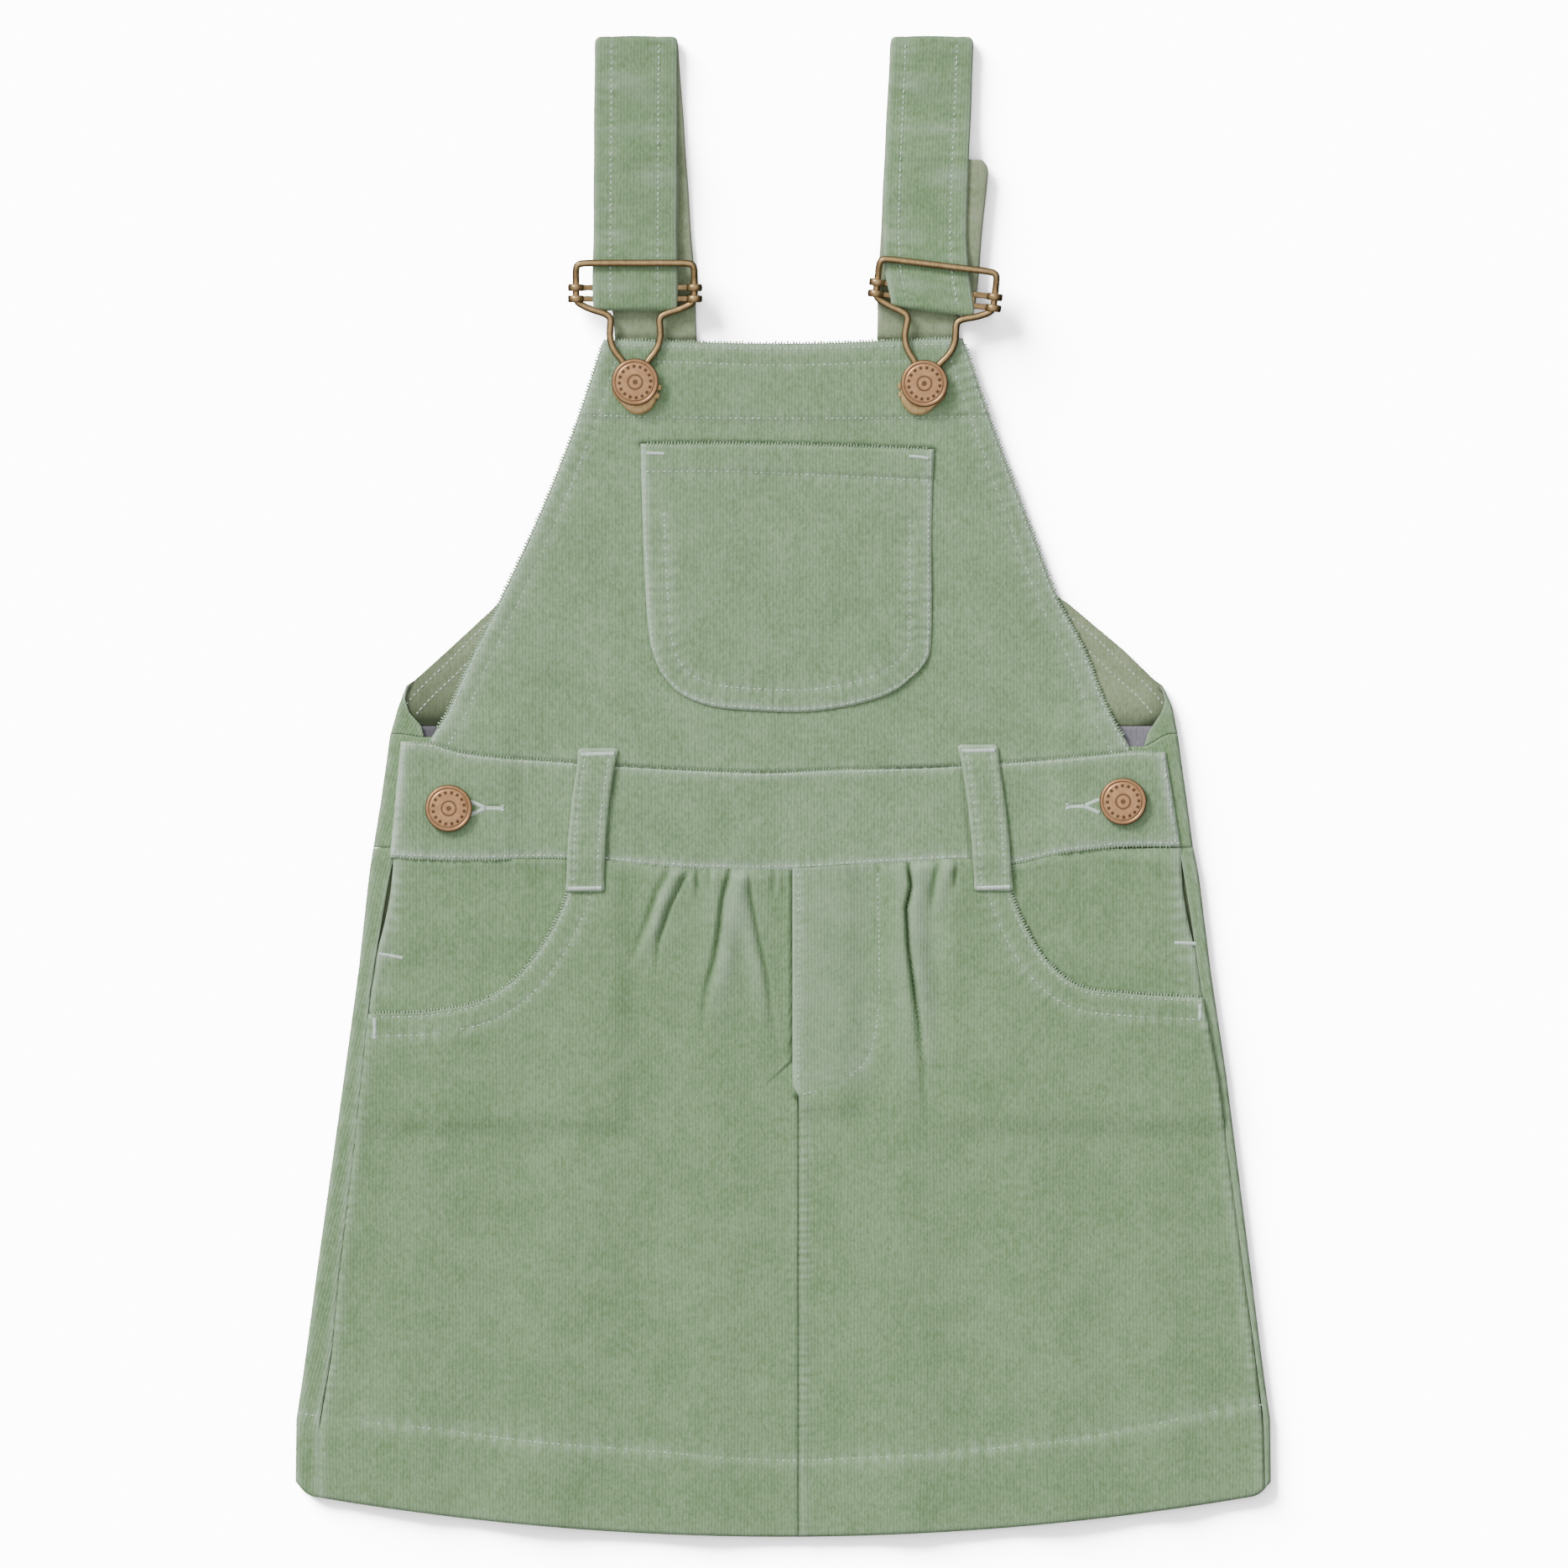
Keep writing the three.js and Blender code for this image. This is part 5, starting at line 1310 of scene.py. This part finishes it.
def tube(path, radius, sides=16):
    """Points, quads and painted shade of a round wire along a path, with rounded ends."""
    along = np.gradient(path, axis=0)
    along /= np.linalg.norm(along, axis=1)[:, None]
    side = np.cross(along, [0, 0, 1.0])
    side /= np.linalg.norm(side, axis=1)[:, None]
    up = np.cross(side, along)
    size = np.ones(len(path))
    size[0] = size[-1] = 0.55
    angle = np.linspace(0, 2 * math.pi, sides, endpoint=False)
    ring = np.cos(angle)[None, :, None] * side[:, None] + np.sin(angle)[None, :, None] * up[:, None]
    points = path[:, None] + ring * (radius * size)[:, None, None]
    rows = len(path)
    quads = []
    for k in range(sides):
        after = (k + 1) % sides
        for r in range(rows - 1):
            quads.append((r * sides + k, (r + 1) * sides + k, (r + 1) * sides + after, r * sides + after))
    points = points.reshape(-1, 3)
    # Painted shade: dark on the sides and underside of the wire, light on top, and dark at its tips.
    dark = np.append(np.tile(0.95 * (1 - np.clip(np.sin(angle), 0, 1)) ** 0.5, rows), [0.9, 0.9])
    for end, row in ((path[0], 0), (path[-1], rows - 1)):
        points = np.vstack([points, end])
        tip = len(points) - 1
        for k in range(0, sides, 2):
            a, b, c = (row * sides + (k + n) % sides for n in (0, 1, 2))
            quads.append((a, b, c, tip) if row == 0 else (c, b, a, tip))
    return points, np.array(quads), dark


def eased(points, rounds=2):
    """A line whose corners are cut back, so that it bends smoothly."""
    line = np.array(points, float)
    for _ in range(rounds):
        cuts = np.stack([0.75 * line[:-1] + 0.25 * line[1:], 0.25 * line[:-1] + 0.75 * line[1:]], axis=1)
        line = np.vstack([line[:1], cuts.reshape(-1, 3), line[-1:]])
    return line


def buckle(side):
    mirrored = [(-x, y, z) for x, y, z in WIRE_HALF[:0:-1]]
    path = spaced(eased(mirrored + WIRE_HALF), 260)
    points, quads, dark = tube(path, WIRE_RADIUS)
    piece = solid_mesh(f"buckle_{side}_wire", place_hardware(points, BUCKLES[side]), quads, [BRASS], wear=dark)
    return settle(piece, f"buckle_{side}")


def boxes_and_rings(name, parts):
    """Joins small rounded metal parts made with bevelled meshes."""
    for other in bpy.context.view_layer.objects:
        other.select_set(False)
    for part in parts:
        part.select_set(True)
    bpy.context.view_layer.objects.active = parts[0]
    bpy.ops.object.join()
    piece = bpy.context.view_layer.objects.active
    piece.name = name
    piece.select_set(False)
    return piece


def rounded_bar(corners, centre, bevel, spot, metal=BRASS):
    mesh = bpy.data.meshes.new("bar")
    width, depth, height = (c / 2 for c in corners)
    signs = [(a, b, c) for a in (-1, 1) for b in (-1, 1) for c in (-1, 1)]
    points = np.array([(a * width + centre[0], b * depth + centre[1], c * height + centre[2]) for a, b, c in signs])
    faces = [(0, 1, 3, 2), (4, 6, 7, 5), (0, 4, 5, 1), (2, 3, 7, 6), (0, 2, 6, 4), (1, 5, 7, 3)]
    mesh.from_pydata([Vector(p) * MM for p in place_hardware(points, spot)], [], faces)
    mesh.materials.append(metal)
    bar = bpy.data.objects.new("bar", mesh)
    bpy.context.scene.collection.objects.link(bar)
    modifier = bar.modifiers.new("round", "BEVEL")
    modifier.width = bevel * MM
    modifier.segments = 3
    bpy.context.view_layer.objects.active = bar
    bar.select_set(True)
    bpy.ops.object.modifier_apply(modifier="round")
    bar.select_set(False)
    return bar


def lathe(name, profile, spot, base_axis="z", turns=48, centre=(0, 0, 0), dark=None, metal=None):
    """Turned form from (radius, height) points round an axis through centre."""
    angle = np.linspace(0, 2 * math.pi, turns, endpoint=False)
    r = np.array([p[0] for p in profile])[:, None]
    h = np.array([p[1] for p in profile])[:, None] + 0 * angle[None, :]
    x, y = r * np.cos(angle), r * np.sin(angle)
    points = np.stack([x, y, h], axis=2) if base_axis == "z" else np.stack([x, h, y], axis=2)
    rows = len(profile)
    quads = []
    for k in range(turns):
        after = (k + 1) % turns
        for i in range(rows - 1):
            face = (i * turns + k, i * turns + after, (i + 1) * turns + after, (i + 1) * turns + k)
            quads.append(face if base_axis == "z" else face[::-1])
    flat = points.reshape(-1, 3) + np.array(centre)
    # Darkness at each point from dark(), as the caller gives it: stains, print and painted shade.
    shade = np.zeros(len(flat)) if dark is None else dark(np.repeat(r.ravel(), turns), np.tile(angle, rows))
    return solid_mesh(name, place_hardware(flat, spot), quads, [metal or BRASS], wear=shade)


# An even light stain, with painted shade on the sides and underside of the ring.
def lug_stain_and_painted_shade(r, angle):
    return 0.2 + 0.75 * (1 - np.clip(np.sin(angle), 0, 1)) ** 0.6


def crossbar(side):
    spot = BUCKLES[side]
    parts = [rounded_bar((29, 5.4, CROSSBAR_THICK), (0, 32.4, CROSSBAR_Z), 0.3, spot)]
    ring = [(1.35, -1.2), (2.5, -1.3), (2.85, -1.05), (2.95, 0), (2.85, 1.05), (2.5, 1.3), (1.35, 1.2), (1.35, -1.2)]
    for sign in (-1, 1):
        for row in (-2.05, 2.05):
            centre = (sign * WIRE_HALF_WIDTH, 32.4 + row, WIRE_LOW_Z)
            parts.append(rounded_bar((6.4, 2.1, 1.7), (sign * 16.9, 32.4 + row, CROSSBAR_Z + 0.5), 0.5, spot,
                                     DARK_BRASS))
            parts.append(lathe("ring", ring, spot, "y", 28, centre, lug_stain_and_painted_shade))
    return settle(boxes_and_rings(f"crossbar_{side}_bar", parts), f"crossbar_{side}")


def keyhole_plate(side):
    spot = BUCKLES[side]
    profile = [(2.9, 4.1), (8.0, 4.1), (8.35, 4.35), (8.35, 4.75), (8.0, 5.1), (7.0, 5.25), (3.2, 5.25),
               (2.9, 5.0), (2.9, 4.1)]
    # Painted shade on the plate under the button, inside its rounded rim.
    plate = lathe(f"keyhole_plate_{side}_disc", profile, spot, "z", 64, (0, 0, 0), lambda r, a: 0.5 * (r < 7))
    points = np.array([v.co for v in plate.data.vertices]) / MM
    turn = math.radians(-spot[2])
    local = points[:, :2] - [spot[0], spot[1]]
    local = np.stack([local[:, 0] * math.cos(turn) - local[:, 1] * math.sin(turn),
                      local[:, 0] * math.sin(turn) + local[:, 1] * math.cos(turn)], axis=1)
    radius = np.linalg.norm(local, axis=1)
    outer = smooth(3.5, 7.5, radius)
    local[:, 1] = local[:, 1] - 3.5 * outer
    lobe = smooth(-3, -9.5, local[:, 1])
    local[:, 0] = local[:, 0] * mix(1, 0.86, lobe) + (1.3 if side == "left" else -1.3) * lobe
    points = place_hardware(np.column_stack([local, points[:, 2]]), spot)
    plate.data.vertices.foreach_set("co", (points * MM).ravel())
    parts = [plate]
    sign = 1 if side == "left" else -1
    parts.append(rounded_bar((2.6, 2.3, 1.1), (sign * 8.3, -2.0, 4.65), 0.5, spot))
    parts.append(rounded_bar((2.4, 2.2, 1.1), (sign * 7.8, -5.0, 4.65), 0.5, spot))
    return settle(boxes_and_rings(f"keyhole_plate_{side}_metal", parts), f"keyhole_plate_{side}")


def button(name):
    """Jeans button with a rolled rim, a stained ring of dots and a plain ringed middle, with painted shade on the side
    of the rim.
    """
    x, y, base, cap, turn = BUTTONS[name]
    radii = np.linspace(0, CAP_RADIUS - 0.9, 60)[::-1]
    rim = [(0.01, base), (2.4, base), (2.4, cap), (CAP_RADIUS - 1.0, cap), (CAP_RADIUS - 0.25, cap + 0.3),
           (CAP_RADIUS, cap + 0.8), (CAP_RADIUS, cap + 1.35), (CAP_RADIUS - 0.15, cap + 1.75),
            (CAP_RADIUS - 0.5, cap + 1.95)]
    face = [(max(r, 0.02), cap + 1.95 + 0.25 * (1 - (r / CAP_RADIUS) ** 2) - 0.28 * math.exp(-(((r - 7.1) / 0.28) ** 2)))
            for r in radii]
    profile = rim + face

    def marks_and_painted_rim_shade(r, angle):
        dots = (np.cos(angle * 16) > 0.35) & (np.abs(r - 5.7) < 0.6)
        ring = 0.35 * bell(r - 7.3, 0.35) + 0.8 * bell(r - 2.6, 0.35)
        # Painted shade on the outer side of the rolled rim.
        rim = np.clip((r - (CAP_RADIUS - 0.7)) / 0.6, 0, 1)
        return np.clip(0.8 * dots + ring + 0.7 * (r < 1.0) + 0.75 * rim, 0, 1)

    piece = lathe(f"{name}_metal", profile, (x, y, turn), "z", 96, (0, 0, 0), marks_and_painted_rim_shade, COPPER)
    return settle(piece, name)


# Surface, light and camera

WORLD_STRENGTH = 0.95
SUN_STRENGTH = 2.2
# Lights that only whiten the paper: name, strength, place, spread in degrees
FLOOR_LIGHTS = [("paper_key", 150, (-1, 1.1, 0.36), 36), ("paper_fill", 6, (0, 0, 1), 150)]
FLOOR_REACH = 3.0
# The photo's width in pixels and its scale in millimetres to a pixel
PHOTO_WIDTH = 1869
PHOTO_SCALE = 0.306


def white_floor():
    mesh = bpy.data.meshes.new("floor")
    corners = [(a * FLOOR_REACH, b * FLOOR_REACH, 0) for a, b in ((-1, -1), (1, -1), (1, 1), (-1, 1))]
    mesh.from_pydata(corners, [], [(0, 1, 2, 3)])
    paper, _, _ = new_material("white_paper", Base_Color=(0.93, 0.93, 0.93, 1), Roughness=1.0, Specular_IOR_Level=0)
    mesh.materials.append(paper)
    sheet = bpy.data.objects.new("floor", mesh)
    sheet.location.z = -0.0002
    bpy.context.scene.collection.objects.link(sheet)
    sheet.visible_diffuse = False
    sheet.visible_glossy = False
    return sheet


def lamp(name, kind, energy, place, aim, **settings):
    data = bpy.data.lights.new(name, kind)
    data.energy = energy
    for key, value in settings.items():
        setattr(data, key, value)
    light = bpy.data.objects.new(name, data)
    light.location = place
    light.rotation_euler = (Vector(aim) - Vector(place)).to_track_quat("-Z", "Y").to_euler()
    bpy.context.scene.collection.objects.link(light)
    return light


def white_room():
    """Soft light from above, brightest at the upper left and dim at the horizon."""
    world = bpy.data.worlds.new("white_room")
    world.use_nodes = True
    make = Nodes(world.node_tree)
    place = make.nodes.new("ShaderNodeTexCoord")
    parts = make.nodes.new("ShaderNodeSeparateXYZ")
    make.links.new(place.outputs["Generated"], parts.inputs[0])
    level = make.math("MULTIPLY_ADD", parts.outputs["Z"], 0.85, 0.12)
    level = make.math("MULTIPLY_ADD", parts.outputs["X"], -0.35, level)
    level = make.math("MULTIPLY_ADD", parts.outputs["Y"], 0.35, level, clamp=True)
    back = make.nodes["Background"]
    back.inputs["Color"].default_value = (1, 1, 1, 1)
    make.feed(back.inputs["Strength"], make.math("MULTIPLY", level, WORLD_STRENGTH))
    bpy.context.scene.world = world


def light_and_camera(floor):
    white_room()
    lamp("window", "SUN", SUN_STRENGTH, (-0.9, 1.0, 0.95), (0, 0, 0), angle=math.radians(18))
    only_floor = bpy.data.collections.new("floor_only")
    only_floor.objects.link(floor)
    for name, energy, place, spread in FLOOR_LIGHTS:
        light = lamp(name, "SUN", energy, place, (0, 0, 0), angle=math.radians(spread))
        light.light_linking.receiver_collection = only_floor
    data = bpy.data.cameras.new("camera")
    data.type = "ORTHO"
    data.ortho_scale = PHOTO_WIDTH * PHOTO_SCALE * MM
    camera = bpy.data.objects.new("camera", data)
    camera.location = (0.0003, 0.0009, 1.5)
    bpy.context.scene.collection.objects.link(camera)
    bpy.context.scene.camera = camera


light_and_camera(white_floor())

cloth = {"back_skirt": back_skirt(), "back_waistband": back_waistband(), "back_bodice": back_bodice()}
for side in ("left", "right"):
    cloth[f"pocket_bag_{side}"] = pocket_bag(side)
    cloth[f"front_skirt_{side}"] = front_skirt(side)
cloth["front_waistband"] = front_waistband()
cloth["bib"] = bib()
cloth["bib_pocket"] = bib_pocket()
cloth["belt_loop_left"] = belt_loop("left", -67.3, -72.3, 14, -38.5, -1.2)
cloth["belt_loop_right"] = belt_loop("right", 70.8, 76.8, 15.3, -38.2, 1.0)
for side in ("left", "right"):
    cloth[f"strap_{side}"] = strap(side)
join_capsules("stitches", stitch_points, THREAD)
join_capsules("wale_ends", wale_end_points, SAGE, 0.6)
for side in ("left", "right"):
    buckle(side)
    crossbar(side)
    keyhole_plate(side)
for name in BUTTONS:
    button(name)
